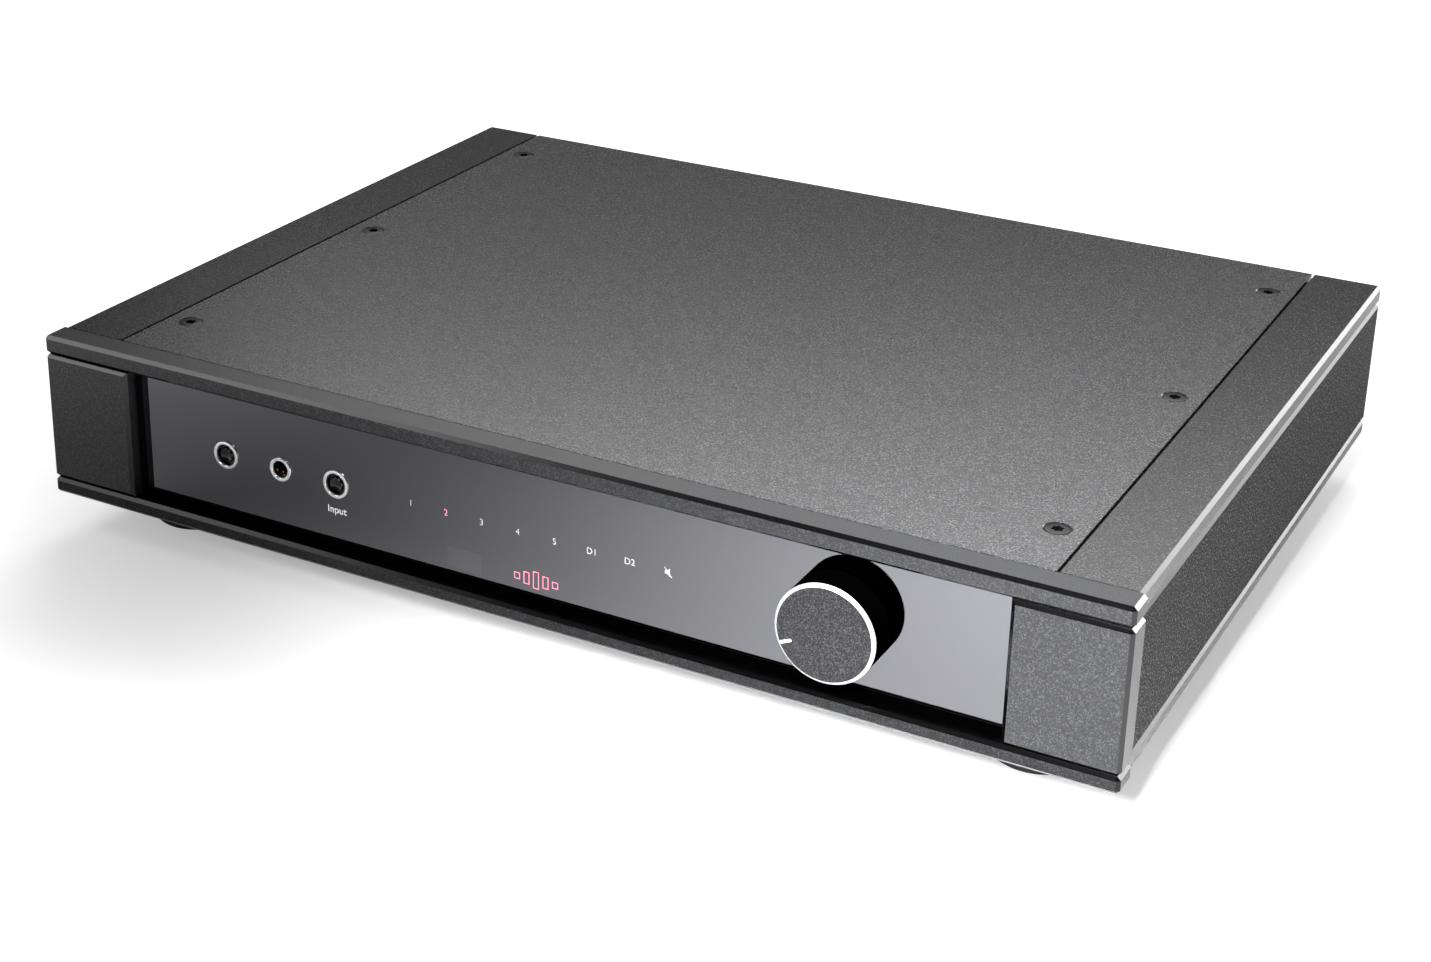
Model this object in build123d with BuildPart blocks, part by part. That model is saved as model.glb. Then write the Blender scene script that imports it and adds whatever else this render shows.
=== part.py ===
from build123d import *
import os

# Slim stereo integrated amplifier. Millimetres, X to the right seen from the front, Y to the back, Z up.
# The origin lies on the standing surface, under the middle of the overall box.

# Overall sizes
overall_width = 432.0
overall_depth = 340.0
knob_proud = 5.7          # volume knob in front of the front frame
terminal_proud = 15.3     # speaker terminals behind the rear panel
foot_height = 16.0
bottom_layer = 6.5        # sill and bottom rails
middle_layer = 52.0       # posts and side panels
top_layer = 7.5           # visor, top rails and lid

# Case
frame_depth = 11.0        # front visor, posts and sill, front to back
post_width = 39.5
post_lip = 5.6            # solid front of a post; behind it the inner side steps back
post_rebate = 3.0
side_reveal = 1.5         # how far the front frame stands proud of the sides
edge_chamfer = 1.3        # the two chamfers at a seam make its V-groove
seam_gap = 0.4            # shadow gap between neighbouring case pieces
side_thickness = 5.0
bottom_rail_width = 12.0
top_rail_width = 27.5     # from the side face to the middle of the lid groove
lid_groove = 1.2
lid_thickness = 4.0
ledge_width = 21.0        # rail ledge that carries the lid
plate_thickness = 2.0     # base plate, subpanel and rear panel
plate_seat = 6.2          # how far the base plate reaches under a bottom rail
vent_columns = 14
vent_rows = 2
vent_pitch = 10.0
vent_row_pitch = 60.0
vent_length = 36.0
vent_width = 3.0

# Lid screws and feet
lid_screw_inset = 10.5    # from the middle of the lid groove
front_row_inset = 40.0    # from the front plane to the first screw row and the front feet
rear_row_inset = 30.3     # from the rear plane to the last screw row and the rear feet
screw_radius = 2.4
screw_clearance = 0.1
same_plane = 0.01         # edges nearer a face than this lie on it
lid_screw_head_radius = 4.75
lid_screw_length = 13.0
boss_radius = 6.0
boss_height = 6.0
lobe_radius = 2.2         # six-lobe driver recess, over the tips
lobe_depth = 1.6
lobe_share = 0.72         # root circle of the recess, of its tip radius
foot_radius = 19.0
foot_edge = 1.0
foot_recess_radius = 7.0
foot_recess_depth = 8.0
foot_screw_head_radius = 5.0
foot_screw_head_height = 3.0
foot_screw_tail = 2.0     # above the base plate

# Fascia
fascia_recess = 7.0       # from the post face back to the glossy face
fascia_side_gap = 2.2
fascia_bottom_gap = 2.5
fascia_nut_margin = 3.5   # room round the volume bushing for its nut
window_margin = 5.0       # past the middle of the first and last indicator
window_height = 8.0
sensor_rise = 8.7         # above the bottom seam
sensor_window = (14.0, 8.0)
sensor_body = (9.0, 6.0)
sensor_dome_radius = 2.4
sensor_gap = 0.5          # behind the subpanel

# Controls, all centred on one line
control_height = 25.3     # above the sill's top seam
first_button_inset = 41.0 # from the left post's inner edge
control_pitch = 25.1
knob_inset = 60.2         # from the right post's inner edge
button_radius = 4.0
button_clearance = 0.3
button_travel = 1.5
button_sunk = 0.3         # cap face behind the ring face
button_dish_depth = 0.5
button_dish_rim = 0.02
stem_radius = 1.5
stem_gap = 1.0            # left behind a pressed stem or cap
switch_size = 8.0
switch_back_wall = 0.5
ring_wall = 0.6
ring_flange_radius = 5.5
ring_flange = 0.7
ring_chamfer = 0.25
sleeve_proud = 1.0        # behind the subpanel
jack_bore_radius = 3.25
jack_bore_length = 31.0
jack_ring_radius = 4.75
jack_neck_radius = 4.2
jack_body_size = 13.0
jack_end_wall = 2.0
jack_ring_clearance = 0.05
knob_radius = 18.05
knob_length = 12.0
knob_chamfer = 1.2
knob_skirt = 2.2
knob_boss_radius = 6.0
knob_hollow_depth = 7.0
knob_face = 3.0           # thickness of the face in front of the shaft
shaft_radius = 3.0
shaft_fit = 0.02
shaft_end_gap = 0.2
running_clearance = 0.06
bushing_radius = 4.5
bushing_proud = 2.6
bushing_nut_margin = 2.2
bushing_nut = 2.0
pot_size = 26.0
pot_depth = 14.0
pot_back_wall = 2.5
pot_end_gap = 0.5
motor_radius = 10.0
motor_length = 26.0
indicator_count = 8
indicator_pitch = 15.0
led_radius = 1.5
led_proud = 1.5           # in front of the subpanel's inner face

# Rear connectors
terminal_pitch = 20.0
terminal_pair_pitch = 37.0
terminal_first_x = -95.0
terminal_middle_z = 47.0
terminal_flange_radius = 8.0
terminal_flange = 1.8
terminal_collar_radius = 6.0
terminal_collar_proud = 2.0
terminal_nut_margin = 4.0
terminal_nut = 3.0
stud_radius = 4.0
stud_bore_radius = 2.05
stud_bore_depth = 24.0
stud_tail = 6.0           # solid end behind the bore
washer_radius = 7.0
washer_thickness = 1.5
cap_radius = 7.2
cap_inset = 0.4           # cap face in front of the stud's end
cap_flutes = 14
flute_radius = 0.7
rest_gap = 0.3            # between moving pieces at rest
rca_columns = 6
rca_pitch = 17.0
rca_first_x = 18.0
rca_row_pitch = 16.0
rca_middle_z = 48.0
rca_shell_radius = 4.15
rca_shell_wall = 0.65
rca_length = 9.5
rca_flange_radius = 5.3
rca_flange = 1.0
rca_collar_margin = 0.5
rca_hole_margin = 0.6
rca_core_gap = 0.05
rca_core_inset = 1.0
rca_contact_radius = 1.6
rca_block_margin = 8.0    # past the middle of the end columns
rca_block_height = 32.0
coaxial_block_half = 6.0
block_screw_columns = (0, 2, 4)
block_screw_depth = 2.5
rca_block_depth = 13.0
digital_x = 136.0
optical_size = 13.0
optical_mouth = 9.2
optical_proud = 2.0
optical_depth = 13.0
shutter_setback = 1.0
shutter_margin = 0.35
shutter_pivot_drop = 0.75
shutter_top = 0.25        # above the pivot
shutter_pin_reach = 1.0   # past each side of the mouth
shutter_pin_end_gap = 0.2
shutter_thickness = 0.8
shutter_pin_radius = 0.35
inlet_wall_inset = 44.0   # from the left side panel to the middle of the inlet
inlet_z = 47.0
inlet_width = 27.6
inlet_height = 34.0
inlet_depth = 26.0
inlet_flange_width = 50.0
inlet_flange_height = 38.0
inlet_flange = 2.2
inlet_mouth_width = 24.4
inlet_mouth_height = 16.4
inlet_mouth_depth = 16.5
inlet_mouth_rise = 7.0    # above the middle of the inlet
inlet_mouth_chamfer = 4.5
inlet_corner_radius = 6.0
inlet_screw_reach = 20.0  # from the middle of the inlet
inlet_pin_places = ((-7.0, -2.0), (0.0, 2.0), (7.0, -2.0))
inlet_pin_size = (2.0, 4.0)
drawer_width = 19.6
drawer_height = 8.2
drawer_depth = 21.0
drawer_drop = 11.0        # below the middle of the inlet
drawer_proud = 0.5
drawer_end_gap = 1.0
drawer_lip = 1.2
drawer_lip_width = 8.0
drawer_lip_height = 1.4
drawer_lip_drop = 0.6     # below the drawer's upper edge
pin_length = 11.0
rear_screw_radius = 1.45
rear_screw_head_radius = 2.8
rear_screw_head = 1.8
rear_screw_tail = 2.0     # behind the rear panel
rear_screw_clearance = 0.05
rear_lip_length = 300.0   # folded foot of the rear panel, on the base plate
rear_lip_depth = 12.0
rear_cutout_clearance = 0.2

# Inside
transformer_radius = 56.0
transformer_hole_radius = 16.0
transformer_height = 42.0
transformer_round = 9.0
transformer_wall_inset = 70.0
transformer_setback = 91.0
pad_thickness = 3.0
pad_margin = 2.0
dish_radius = 30.0
dish_thickness = 2.0
bolt_radius = 4.0
bolt_head_radius = 7.5
bolt_head_height = 5.0
board_thickness = 1.6
board_stand = 8.0
board_left_x = -62.0
board_wall_gap = 14.0
board_front_gap = 56.0    # behind the subpanel
board_rear_gap = 16.0     # in front of the rear panel
board_corner_inset = 8.0  # of the standoffs
standoff_radius = 3.0
capacitor_radius = 15.0
capacitor_height = 40.0
capacitor_pitch = 35.0
capacitor_count = 4
capacitor_side_gap = 9.0  # from the board's left edge
capacitor_front_gap = 10.0
capacitor_round = 1.5
heatsink_length = 150.0
heatsink_web = 5.0
heatsink_height = 42.0
heatsink_side_gap = 50.0  # from the capacitors
heatsink_front_gap = 14.0 # from the board's front edge
fin_length = 24.0
fin_thickness = 2.0
fin_count = 6
transistor_size = (4.8, 15.6, 20.0)
transistor_count = 4
transistor_rise = 8.0
transistor_leg_pitch = 5.45
transistor_leg = (0.6, 1.2)
front_board_gap = 8.3     # from the subpanel to the front board
front_board_height = 38.0
front_board_drop = 7.0    # below the middle of the sensor
front_board_left_margin = 14.0
front_board_right_margin = 6.0
front_board_corner = 5.0
jack_cutout_margin = 0.5
ribbon_width = 20.0
ribbon_thickness = 1.2
ribbon_radius = 8.0
ribbon_rise = 14.0        # above the front board's lower edge
ribbon_seat = 6.0         # behind the main board's front edge

# Places worked out from the sizes above
front_y = -overall_depth / 2 + knob_proud
rear_y = overall_depth / 2 - terminal_proud
frame_back_y = front_y + frame_depth
panel_y = rear_y - plate_thickness            # inner face of the rear panel
subpanel_y = frame_back_y + plate_thickness   # inner face of the subpanel
fascia_y = front_y + fascia_recess
half_width = overall_width / 2
side_x = half_width - side_reveal
side_inner_x = side_x - side_thickness
bottom_rail_x = side_x - bottom_rail_width
post_inner_x = half_width - post_width
groove_x = side_x - top_rail_width
ledge_x = groove_x - ledge_width
case_bottom = foot_height
plate_top = case_bottom + plate_thickness
bottom_seam = case_bottom + bottom_layer
top_seam = bottom_seam + middle_layer
case_top = top_seam + top_layer
lid_bottom = case_top - lid_thickness
half_gap = seam_gap / 2
ledge_bottom = top_seam + half_gap
lid_screw_x = groove_x - lid_screw_inset
first_row_y = front_y + front_row_inset
last_row_y = rear_y - rear_row_inset
screw_rows = [first_row_y, (first_row_y + last_row_y) / 2, last_row_y]
control_z = bottom_seam + control_height
power_x = first_button_inset - post_inner_x
jack_x = power_x + control_pitch
input_x = jack_x + control_pitch
knob_x = post_inner_x - knob_inset
knob_front_y = -overall_depth / 2
knob_back_y = knob_front_y + knob_length
ring_bore_radius = button_radius + button_clearance
ring_sleeve_radius = ring_bore_radius + ring_wall
front_board_y = subpanel_y + front_board_gap
indicator_xs = [indicator_pitch * (i - (indicator_count - 1) / 2) for i in range(indicator_count)]
terminal_places = [
    (terminal_first_x + terminal_pair_pitch * column, terminal_middle_z + terminal_pitch * (row - 0.5))
    for column in range(2)
    for row in range(2)
]
rca_places = [
    (rca_first_x + rca_pitch * column, rca_middle_z + rca_row_pitch * (row - 0.5))
    for column in range(rca_columns)
    for row in range(2)
]
coaxial_place = (digital_x, rca_middle_z - rca_row_pitch / 2)
optical_z = rca_middle_z + rca_row_pitch / 2
inlet_x = inlet_wall_inset - side_inner_x
transformer_x = transformer_wall_inset - side_inner_x
transformer_y = subpanel_y + transformer_setback
board_right_x = side_inner_x - board_wall_gap
board_front_y = subpanel_y + board_front_gap
board_rear_y = panel_y - board_rear_gap
board_bottom = plate_top + board_stand
board_top = board_bottom + board_thickness


def save(builder, node):
    builder.part.label = node
    export_step(builder.part, f"parts/{node}.step")


def block(x_span, y_span, z_span, mode=Mode.ADD):
    """A box between two limits on each axis."""
    spans = (x_span, y_span, z_span)
    with Locations(tuple((low + high) / 2 for low, high in spans)):
        Box(*(high - low for low, high in spans), mode=mode)


def rod(places, y_span, radius, mode=Mode.ADD):
    """Round bars along Y at each (x, z) place."""
    middle = (y_span[0] + y_span[1]) / 2
    with Locations(*[(x, middle, z) for x, z in places]):
        Cylinder(radius, y_span[1] - y_span[0], rotation=(90, 0, 0), mode=mode)


def pillar(places, z_span, radius, mode=Mode.ADD):
    """Round bars along Z at each (x, y) place."""
    middle = (z_span[0] + z_span[1]) / 2
    with Locations(*[(x, y, middle) for x, y in places]):
        Cylinder(radius, z_span[1] - z_span[0], mode=mode)


def both_sides(x, rows):
    return [(side * x, y) for side in (-1, 1) for y in rows]


def span(side, inner, outer):
    """The x limits of a piece from inner to outer on the left (-1) or the right (1)."""
    return tuple(sorted((side * inner, side * outer)))


def around(middle, size):
    """The limits of a piece of one size about a middle."""
    return (middle - size / 2, middle + size / 2)


def wider(limits, margin):
    return (limits[0] - margin, limits[1] + margin)


def outer_edges(builder, back_y):
    """Every edge of a front frame piece that isn't on its back face."""
    return builder.edges().filter_by(lambda edge: edge.center().Y < back_y - same_plane)


os.makedirs("parts", exist_ok=True)

# ---- Front frame ----

with BuildPart() as front_visor:
    block((-half_width, half_width), (front_y, frame_back_y), (ledge_bottom, case_top))
    chamfer(outer_edges(front_visor, frame_back_y), edge_chamfer)
save(front_visor, "front_visor")

with BuildPart() as front_sill:
    block((-half_width, half_width), (front_y, frame_back_y), (case_bottom, bottom_seam - half_gap))
    chamfer(outer_edges(front_sill, frame_back_y), edge_chamfer)
save(front_sill, "front_sill")

for side_name, side in (("left", -1), ("right", 1)):
    with BuildPart() as post:
        block(
            span(side, post_inner_x, half_width),
            (front_y, frame_back_y),
            (bottom_seam + half_gap, top_seam - half_gap),
        )
        end_face = post.faces().sort_by(Axis.X)[0 if side < 0 else -1]
        front_face = post.faces().sort_by(Axis.Y)[0]
        proud_edges = (end_face.edges() + front_face.edges()).filter_by(
            lambda edge: edge.center().Y < frame_back_y - same_plane
        )
        chamfer(proud_edges, edge_chamfer)
        block(
            span(side, post_inner_x, post_inner_x + post_rebate),
            (front_y + post_lip, frame_back_y),
            (bottom_seam, top_seam),
            mode=Mode.SUBTRACT,
        )
    save(post, f"{side_name}_front_post")

# ---- Sides ----

rail_span_y = (frame_back_y + seam_gap, rear_y)

for side_name, side in (("left", -1), ("right", 1)):
    with BuildPart() as side_panel:
        block(
            span(side, side_inner_x, side_x),
            rail_span_y,
            (bottom_seam + half_gap, top_seam - half_gap),
        )
        outer_face = side_panel.faces().sort_by(Axis.X)[0 if side < 0 else -1]
        chamfer(outer_face.edges().filter_by(Axis.Y), edge_chamfer)
    save(side_panel, f"{side_name}_side_panel")

    with BuildPart() as bottom_rail:
        block(span(side, bottom_rail_x, side_x), rail_span_y, (case_bottom, bottom_seam - half_gap))
        outer_face = bottom_rail.faces().sort_by(Axis.X)[0 if side < 0 else -1]
        chamfer(outer_face.edges().filter_by(Axis.Y), edge_chamfer)
        block(
            span(side, bottom_rail_x, bottom_rail_x + plate_seat + screw_clearance),
            rail_span_y,
            (case_bottom, plate_top),
            mode=Mode.SUBTRACT,
        )
    save(bottom_rail, f"{side_name}_bottom_rail")

    with BuildPart() as top_rail:
        block(span(side, groove_x + lid_groove / 2, side_x), rail_span_y, (ledge_bottom, case_top))
        outer_face = top_rail.faces().sort_by(Axis.X)[0 if side < 0 else -1]
        chamfer(outer_face.edges().filter_by(Axis.Y), edge_chamfer)
        block(span(side, ledge_x, groove_x + lid_groove / 2), rail_span_y, (ledge_bottom, lid_bottom))
        boss_places = [(side * lid_screw_x, y) for y in screw_rows]
        pillar(boss_places, (ledge_bottom - boss_height, ledge_bottom), boss_radius)
        tap_radius = screw_radius + screw_clearance
        pillar(boss_places, (ledge_bottom - boss_height, lid_bottom), tap_radius, mode=Mode.SUBTRACT)
    save(top_rail, f"{side_name}_top_rail")

# ---- Lid ----

lid_screw_places = both_sides(lid_screw_x, screw_rows)

with BuildPart() as top_lid:
    lid_edge_x = groove_x - lid_groove / 2
    block((-lid_edge_x, lid_edge_x), rail_span_y, (lid_bottom, case_top))
    with BuildSketch(Plane.XY.offset(case_top)):
        with Locations(*lid_screw_places):
            Circle(lid_screw_head_radius + screw_clearance)
    extrude(amount=-lid_screw_head_radius, taper=45, mode=Mode.SUBTRACT)
    pillar(lid_screw_places, (lid_bottom, case_top), screw_radius + screw_clearance, mode=Mode.SUBTRACT)
save(top_lid, "top_lid")

with BuildPart() as lid_screws:
    head_height = lid_screw_head_radius - screw_radius
    with BuildSketch(Plane.XY.offset(case_top)):
        with Locations(*lid_screw_places):
            Circle(lid_screw_head_radius)
    extrude(amount=-head_height, taper=45)
    pillar(lid_screw_places, (case_top - lid_screw_length, case_top - head_height), screw_radius)
    with BuildSketch(Plane.XY.offset(case_top)):
        with Locations(*lid_screw_places):
            Circle(lobe_radius * lobe_share)
            with PolarLocations(lobe_radius * lobe_share, 6):
                Circle(lobe_radius * (1 - lobe_share))
    extrude(amount=-lobe_depth, mode=Mode.SUBTRACT)
save(lid_screws, "lid_screws")

# ---- Base and feet ----

foot_places = both_sides(lid_screw_x, (first_row_y, last_row_y))
bolt_hole_radius = bolt_radius + screw_clearance

with BuildPart() as base_plate:
    plate_edge_x = bottom_rail_x + plate_seat
    block((-plate_edge_x, plate_edge_x), (frame_back_y, rear_y), (case_bottom, plate_top))
    pillar(foot_places, (case_bottom, plate_top), screw_radius + screw_clearance, mode=Mode.SUBTRACT)
    pillar([(transformer_x, transformer_y)], (case_bottom, plate_top), bolt_hole_radius, mode=Mode.SUBTRACT)
    vent_middle_x = (board_left_x + board_right_x) / 2
    vent_middle_y = (board_front_y + board_rear_y) / 2
    with BuildSketch(Plane.XY.offset(case_bottom)):
        with Locations((vent_middle_x, vent_middle_y)):
            with GridLocations(vent_pitch, vent_row_pitch, vent_columns, vent_rows):
                SlotOverall(vent_length, vent_width, rotation=90)
    extrude(amount=plate_thickness, mode=Mode.SUBTRACT)
save(base_plate, "base_plate")

with BuildPart() as feet:
    pillar(foot_places, (0, foot_height), foot_radius)
    fillet(feet.edges().filter_by(GeomType.CIRCLE).group_by(Axis.Z)[0], foot_edge)
    pillar(foot_places, (0, foot_recess_depth), foot_recess_radius, mode=Mode.SUBTRACT)
    pillar(foot_places, (0, foot_height), screw_radius + screw_clearance, mode=Mode.SUBTRACT)
save(feet, "feet")

with BuildPart() as foot_screws:
    head_z = (foot_recess_depth - foot_screw_head_height, foot_recess_depth)
    pillar(foot_places, head_z, foot_screw_head_radius)
    pillar(foot_places, (foot_recess_depth, plate_top + foot_screw_tail), screw_radius)
save(foot_screws, "foot_screws")

# ---- Front subpanel and fascia ----

button_places = [(power_x, control_z), (input_x, control_z)]
jack_place = (jack_x, control_z)
knob_place = (knob_x, control_z)
fascia_span_x = (fascia_side_gap - post_inner_x, post_inner_x - fascia_side_gap)
window_x = (indicator_xs[0] - window_margin, indicator_xs[-1] + window_margin)
sensor_x = indicator_xs[1] + indicator_pitch / 2
sensor_z = bottom_seam + sensor_rise


def front_holes(y_span):
    """Holes through a front sheet for the button sleeves and the headphone neck."""
    rod(button_places, y_span, ring_sleeve_radius + screw_clearance, mode=Mode.SUBTRACT)
    rod([jack_place], y_span, jack_neck_radius + screw_clearance, mode=Mode.SUBTRACT)


with BuildPart() as front_subpanel:
    sheet_y = (frame_back_y, subpanel_y)
    sheet_x = bottom_rail_x - seam_gap
    block((-sheet_x, sheet_x), sheet_y, (plate_top, top_seam - half_gap))
    block((seam_gap - ledge_x, ledge_x - seam_gap), sheet_y, (top_seam - half_gap, lid_bottom - seam_gap))
    front_holes(sheet_y)
    rod([knob_place], sheet_y, bushing_radius + screw_clearance, mode=Mode.SUBTRACT)
    block(window_x, sheet_y, around(control_z, window_height), mode=Mode.SUBTRACT)
    block(around(sensor_x, sensor_window[0]), sheet_y, around(sensor_z, sensor_window[1]), mode=Mode.SUBTRACT)
save(front_subpanel, "front_subpanel")

with BuildPart() as fascia:
    sheet_y = (fascia_y, frame_back_y)
    block(fascia_span_x, sheet_y, (bottom_seam + fascia_bottom_gap, top_seam - seam_gap))
    front_holes(sheet_y)
    rod([knob_place], sheet_y, bushing_radius + fascia_nut_margin, mode=Mode.SUBTRACT)
save(fascia, "fascia")

# ---- Buttons ----

ring_front_y = fascia_y - ring_flange
sleeve_back_y = subpanel_y + sleeve_proud
cap_front_y = ring_front_y + button_sunk
cap_back_y = subpanel_y + rest_gap
switch_front_y = cap_back_y + button_travel + stem_gap
stem_end_y = front_board_y - button_travel - stem_gap

with BuildPart() as button_rings:
    rod(button_places, (ring_front_y, fascia_y), ring_flange_radius)
    chamfer(button_rings.faces().group_by(Axis.Y)[0].edges(), ring_chamfer)
    rod(button_places, (fascia_y, sleeve_back_y), ring_sleeve_radius)
    rod(button_places, (ring_front_y, sleeve_back_y), ring_bore_radius, mode=Mode.SUBTRACT)
save(button_rings, "button_rings")

dish_sphere_radius = (button_radius**2 + button_dish_depth**2) / (2 * button_dish_depth)
for button_name, button_x in (("power_button", power_x), ("input_button", input_x)):
    with BuildPart() as button:
        rod([(button_x, control_z)], (cap_front_y, cap_back_y), button_radius)
        with Locations((button_x, cap_front_y + button_dish_depth - dish_sphere_radius, control_z)):
            Sphere(dish_sphere_radius - button_dish_rim, mode=Mode.SUBTRACT)
        rod([(button_x, control_z)], (cap_back_y, stem_end_y), stem_radius)
    save(button, button_name)

with BuildPart() as push_switches:
    for button_x, button_z in button_places:
        block(around(button_x, switch_size), (switch_front_y, front_board_y), around(button_z, switch_size))
    stem_room_y = (switch_front_y, front_board_y - switch_back_wall)
    rod(button_places, stem_room_y, stem_radius + button_clearance, mode=Mode.SUBTRACT)
save(push_switches, "push_switches")

# ---- Headphone socket ----

jack_bore_end_y = fascia_y + jack_bore_length
jack_body_x = around(jack_x, jack_body_size)
jack_body_z = around(control_z, jack_body_size)

with BuildPart() as headphone_socket:
    block(jack_body_x, (subpanel_y, jack_bore_end_y + jack_end_wall), jack_body_z)
    rod([jack_place], (fascia_y, subpanel_y), jack_neck_radius)
    rod([jack_place], (fascia_y, jack_bore_end_y), jack_bore_radius, mode=Mode.SUBTRACT)
save(headphone_socket, "headphone_socket")

with BuildPart() as headphone_ring:
    rod([jack_place], (ring_front_y, fascia_y), jack_ring_radius)
    chamfer(headphone_ring.faces().sort_by(Axis.Y)[0].edges(), ring_chamfer)
    rod([jack_place], (ring_front_y, fascia_y), jack_bore_radius + jack_ring_clearance, mode=Mode.SUBTRACT)
save(headphone_ring, "headphone_ring")

# ---- Front board ----

front_board_bottom = sensor_z - front_board_drop
front_board_x = (power_x - front_board_left_margin, window_x[1] + front_board_right_margin)
front_board_y_span = (front_board_y, front_board_y + board_thickness)
front_board_z = (front_board_bottom, front_board_bottom + front_board_height)

with BuildPart() as front_board:
    block(front_board_x, front_board_y_span, front_board_z)
    cutout_x, cutout_z = wider(jack_body_x, jack_cutout_margin), wider(jack_body_z, jack_cutout_margin)
    block(cutout_x, front_board_y_span, cutout_z, mode=Mode.SUBTRACT)
save(front_board, "front_board")

with BuildPart() as indicator_leds:
    rod([(x, control_z) for x in indicator_xs], (subpanel_y - led_proud, front_board_y), led_radius)
save(indicator_leds, "indicator_leds")

with BuildPart() as infrared_receiver:
    sensor_y = subpanel_y + sensor_gap
    block(around(sensor_x, sensor_body[0]), (sensor_y, front_board_y), around(sensor_z, sensor_body[1]))
    with Locations((sensor_x, sensor_y, sensor_z)):
        Sphere(sensor_dome_radius)
save(infrared_receiver, "infrared_receiver")

# ---- Volume control ----

with BuildPart() as volume_knob:
    rod([knob_place], (knob_front_y, knob_back_y), knob_radius)
    chamfer(volume_knob.faces().sort_by(Axis.Y)[0].edges(), knob_chamfer)
    with BuildSketch(Plane.XZ.offset(-knob_back_y)):
        with Locations(knob_place):
            Circle(knob_radius - knob_skirt)
            Circle(knob_boss_radius, mode=Mode.SUBTRACT)
    extrude(amount=knob_hollow_depth, mode=Mode.SUBTRACT)
    rod([knob_place], (knob_front_y + knob_face, knob_back_y), shaft_radius + shaft_fit, mode=Mode.SUBTRACT)
save(volume_knob, "volume_knob")

pot_back_y = subpanel_y + pot_depth
bushing_bore_radius = shaft_radius + running_clearance
shaft_room_y = pot_back_y - pot_back_wall
shaft_end_y = shaft_room_y - pot_end_gap

with BuildPart() as volume_shaft:
    rod([knob_place], (knob_front_y + knob_face + shaft_end_gap, shaft_end_y), shaft_radius)
save(volume_shaft, "volume_shaft")

with BuildPart() as volume_pot:
    block(around(knob_x, pot_size), (subpanel_y, pot_back_y), around(control_z, pot_size))
    rod([knob_place], (frame_back_y - bushing_proud, subpanel_y), bushing_radius)
    rod([knob_place], (pot_back_y, pot_back_y + motor_length), motor_radius)
    rod([knob_place], (frame_back_y - bushing_proud, shaft_room_y), bushing_bore_radius, mode=Mode.SUBTRACT)
save(volume_pot, "volume_pot")

# ---- Rear panel ----

inlet_body_x = around(inlet_x, inlet_width)
inlet_body_z = around(inlet_z, inlet_height)
optical_body_x = around(digital_x, optical_size)
optical_body_z = around(optical_z, optical_size)
all_rca_places = rca_places + [coaxial_place]
inlet_screw_places = [(inlet_x + side * inlet_screw_reach, inlet_z) for side in (-1, 1)]
block_screw_places = [(rca_first_x + rca_pitch * (i + 0.5), rca_middle_z) for i in block_screw_columns]
panel_screw_hole = rear_screw_radius + rear_screw_clearance

with BuildPart() as rear_panel:
    sheet_y = (panel_y, rear_y)
    wide_x = side_inner_x - seam_gap
    block((-wide_x, wide_x), sheet_y, (bottom_seam + half_gap, top_seam - half_gap))
    block((seam_gap - bottom_rail_x, bottom_rail_x - seam_gap), sheet_y, (plate_top, bottom_seam + half_gap))
    block((seam_gap - ledge_x, ledge_x - seam_gap), sheet_y, (top_seam - half_gap, lid_bottom - seam_gap))
    lip_z = (plate_top, plate_top + plate_thickness)
    block(around(0.0, rear_lip_length), (panel_y - rear_lip_depth, panel_y), lip_z)
    for body_x, body_z in ((inlet_body_x, inlet_body_z), (optical_body_x, optical_body_z)):
        cutout_x, cutout_z = wider(body_x, rear_cutout_clearance), wider(body_z, rear_cutout_clearance)
        block(cutout_x, sheet_y, cutout_z, mode=Mode.SUBTRACT)
    rod(terminal_places, sheet_y, terminal_collar_radius + screw_clearance, mode=Mode.SUBTRACT)
    rod(all_rca_places, sheet_y, rca_shell_radius + rca_hole_margin, mode=Mode.SUBTRACT)
    rod(inlet_screw_places + block_screw_places, sheet_y, panel_screw_hole, mode=Mode.SUBTRACT)
save(rear_panel, "rear_panel")

with BuildPart() as rear_screws:
    for places, seat_y in ((inlet_screw_places, rear_y + inlet_flange), (block_screw_places, rear_y)):
        rod(places, (seat_y, seat_y + rear_screw_head), rear_screw_head_radius)
        rod(places, (panel_y - rear_screw_tail, seat_y), rear_screw_radius)
save(rear_screws, "rear_screws")

# ---- Line sockets ----

with BuildPart() as rca_insulators:
    rod(all_rca_places, (rear_y, rear_y + rca_flange), rca_flange_radius)
    rod(all_rca_places, (panel_y, rear_y), rca_shell_radius + rca_collar_margin)
    core_radius = rca_shell_radius - rca_shell_wall - rca_core_gap
    rod(all_rca_places, (rear_y + rca_flange, rear_y + rca_length - rca_core_inset), core_radius)
    rod(all_rca_places, (rear_y, rear_y + rca_length), rca_contact_radius, mode=Mode.SUBTRACT)
save(rca_insulators, "rca_insulators")

with BuildPart() as rca_shells:
    shell_y = (rear_y + rca_flange, rear_y + rca_length)
    rod(all_rca_places, shell_y, rca_shell_radius)
    rod(all_rca_places, shell_y, rca_shell_radius - rca_shell_wall, mode=Mode.SUBTRACT)
save(rca_shells, "rca_shells")

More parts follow.
